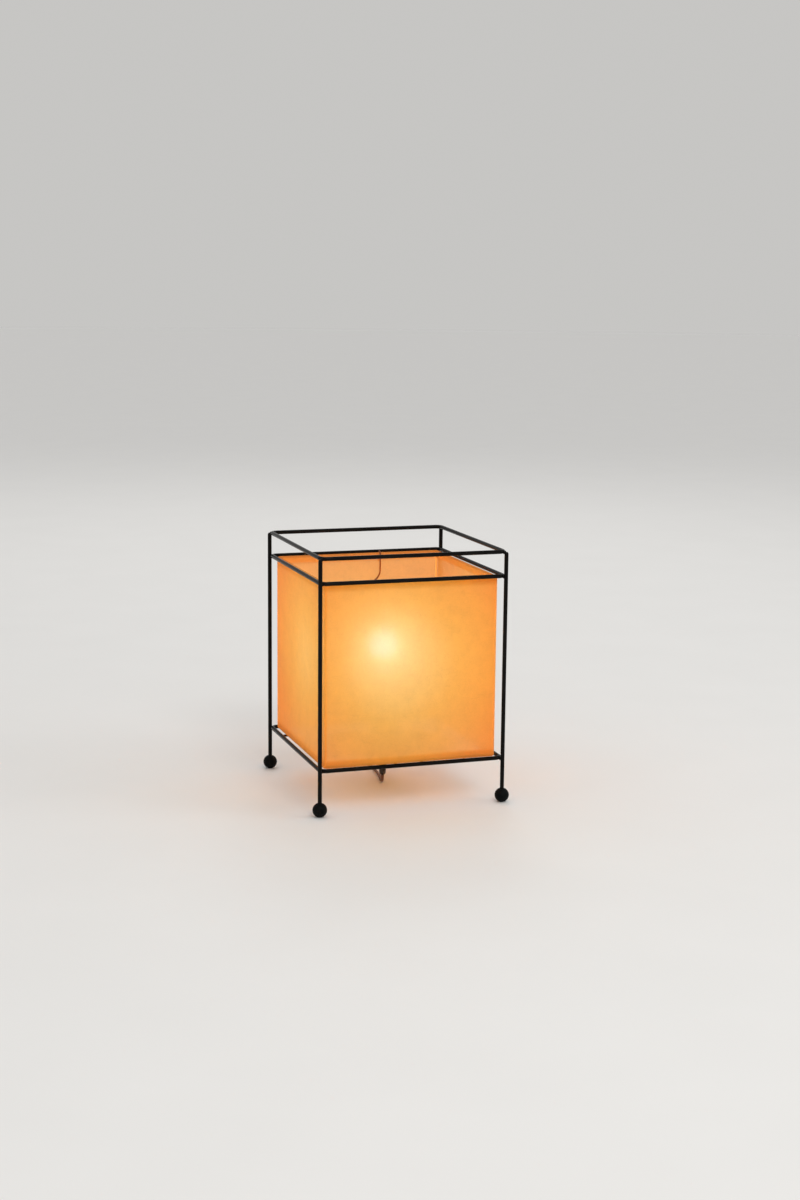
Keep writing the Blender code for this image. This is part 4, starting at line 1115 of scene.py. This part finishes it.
# %% [markdown]
# ## Braid on the flex
#
# The flex is covered with a braid: threads that run round it both ways and cross over and
# under. Modelling every thread would take millions of faces. The tube's UV map is to
# scale, so two sets of slanting bands, one for each way round, give the threads, and
# where both are high a thread crosses over.

# %% Weave the braid
braid, tree, shader = new_finish("brown_braid", Sheen_Weight=0.25, Specular_IOR_Level=0.3)
part = parts_of(tree, place(tree, "TexCoord").outputs["UV"])
threads_round = 10.0


def slanting_bands(way):
    """Bands that wind round the flex one way or the other, from 0 to 1."""
    round_part = sums(tree, "MULTIPLY", part["Y"], threads_round * math.tau)
    along_part = sums(tree, "MULTIPLY", part["X"], way * threads_round * math.tau)
    wave = sums(tree, "SINE", sums(tree, "ADD", round_part, along_part))
    return ranged(tree, wave, 0, 1, -1, 1)


one_way = slanting_bands(1)
other_way = slanting_bands(-1)
threads = sums(tree, "MAXIMUM", one_way, other_way)
# Threads that wind one way are coloured lighter than those that wind the other way.
one_way_lighter = ranged(tree, sums(tree, "SUBTRACT", one_way, other_way), 0, 1, -0.6, 0.6)
thread_colour = blended(tree, one_way_lighter, (0.150, 0.052, 0.020), (0.245, 0.094, 0.036))
# Painted shade: the gaps between the threads are painted a dark brown.
thread_or_gap_shade = ranged(tree, threads, 0, 1, 0.35, 0.8)
feed(
    shader,
    Base_Color=blended(tree, thread_or_gap_shade, (0.055, 0.020, 0.010), thread_colour),
    Roughness=ranged(tree, threads, 0.85, 0.62),
)
bumped(tree, shader, threads, 0.5, 0.0003)
for flex_piece in (flex_front, flex_back):
    flex_piece.data.materials.clear()
    flex_piece.data.materials.append(braid)
print("finish:", braid.name)

# %% [markdown]
# ## Finishes for the pieces that stay
#
# Small pieces inside the lamp keep their own form: the nut, the threaded pipe, the
# contacts and the wires. They only need a finish, so each node is given the one that its
# slot names. Ceramic, clear glass, fine wire and the strap round the coil are still
# missing and are made first. The plug's pins have a dark sleeve at the root, which is a
# mask along the pin.

# %% Ceramic, clear glass, fine wire and strap
ceramic = marked_finish(
    "white_ceramic", (0.80, 0.77, 0.70), (0.70, 0.65, 0.56), 0.45, 0.62, size=1.4, bump=0.2
)
clear_glass = marked_finish(
    "clear_glass",
    (0.92, 0.95, 0.94),
    (0.86, 0.90, 0.89),
    0.02,
    0.10,
    size=1.5,
    bump=0.03,
    Transmission_Weight=1.0,
    IOR=1.5,
)
fine_wire = marked_finish(
    "fine_wire", (0.30, 0.29, 0.28), (0.18, 0.17, 0.16), 0.30, 0.45, size=3.0, Metallic=1.0
)
strap = marked_finish(
    "strap", (0.016, 0.015, 0.014), (0.045, 0.041, 0.037), 0.75, 0.92, size=2.5, bump=0.6, Sheen_Weight=0.3
)
pin_brass, tree, shader = new_finish("sleeved_pin")
smudge, fine_grain = handled(tree, 2.0)
bare = ranged(tree, parts_of(tree, object_spot(tree))["X"], 0, 1, 0.1048, 0.1050)
metal = blended(tree, smudge, (0.72, 0.52, 0.22), (0.45, 0.30, 0.11))
feed(
    shader,
    Base_Color=blended(tree, bare, (0.012, 0.010, 0.009), metal),
    Metallic=bare,
    Roughness=ranged(tree, smudge, 0.22, 0.40),
)
bumped(tree, shader, fine_grain, 0.05, 0.0002)
print("finishes:", ceramic.name, clear_glass.name, fine_wire.name, strap.name, pin_brass.name)

# %% Give every node that shows its finish
finish_for_slot = {
    "shade_wire": shade_wire,
    "zinc": zinc,
    "brass": brass,
    "bakelite": dark_plastic,
    "steatite": ceramic,
    "clear_glass": clear_glass,
    "tungsten": fine_wire,
}
finish_for_node = {"coil_tie": strap, "plug_pin_near": pin_brass, "plug_pin_far": pin_brass}
finished = 0
for name, node in nodes.items():
    if node.hide_render:
        continue
    node.material_slots[0].material = finish_for_node.get(name) or finish_for_slot[slot_of[name]]
    finished += 1
print("nodes that stay:", finished)

# %% [markdown]
# ## Floor and studio light
#
# The lamp stands on a plain pale floor under soft light from large panels, at a level where
# a colour renders about as it is written. The lamp's own glow then shows as a warm pool
# on the floor. The background is the pale world itself, which the camera sees a little
# darker than the world that lights the scene.

# %% Pale floor
floor_radius = 14
bpy.ops.object.select_all(action="DESELECT")
bpy.ops.mesh.primitive_circle_add(vertices=96, radius=floor_radius, fill_type="NGON")
floor = bpy.context.object
floor.name = "floor"
pale, tree, shader = new_finish("pale_floor", Specular_IOR_Level=0.2)
cloud = noise(tree, object_spot(tree), 9.0, 4.0)
feed(
    shader,
    Base_Color=blended(tree, cloud, (0.80, 0.79, 0.77), (0.83, 0.82, 0.80)),
    Roughness=ranged(tree, cloud, 0.62, 0.75),
)
floor.data.materials.append(pale)
print("floor radius", floor_radius, "m")


# %% Soft lights and the world
def soft_panel(name, at, size, power, colour):
    """A square area light that faces the middle of the lamp."""
    light = bpy.data.lights.new(name, "AREA")
    light.size = size
    light.energy = power
    light.color = colour
    panel = bpy.data.objects.new(name, light)
    bpy.context.scene.collection.objects.link(panel)
    panel.location = at
    panel.rotation_euler = (Vector((0, 0, 0.12)) - Vector(at)).to_track_quat("-Z", "Y").to_euler()
    return panel


soft_panel("key_panel", (0.1, -2.2, 2.0), 0.8, 17, (1.0, 0.985, 0.96))
soft_panel("fill_panel", (1.9, -1.0, 1.4), 0.8, 7, (0.97, 0.985, 1.0))
soft_panel("back_panel", (0.6, 2.0, 1.9), 0.8, 8, (1.0, 0.99, 0.97))
world = bpy.data.worlds.new("studio")
bpy.context.scene.world = world
world.use_nodes = True
tree = world.node_tree
backdrop = tree.nodes["Background"]
rays = place(tree, "LightPath").outputs
mirrored = sums(tree, "MAXIMUM", rays["Is Glossy Ray"], rays["Is Transmission Ray"])
seen = sums(tree, "MAXIMUM", rays["Is Camera Ray"], mirrored)
feed(backdrop, Color=blended(tree, seen, (0.70, 0.70, 0.70), (0.569, 0.563, 0.549)))
bpy.context.scene.view_settings.view_transform = "Standard"
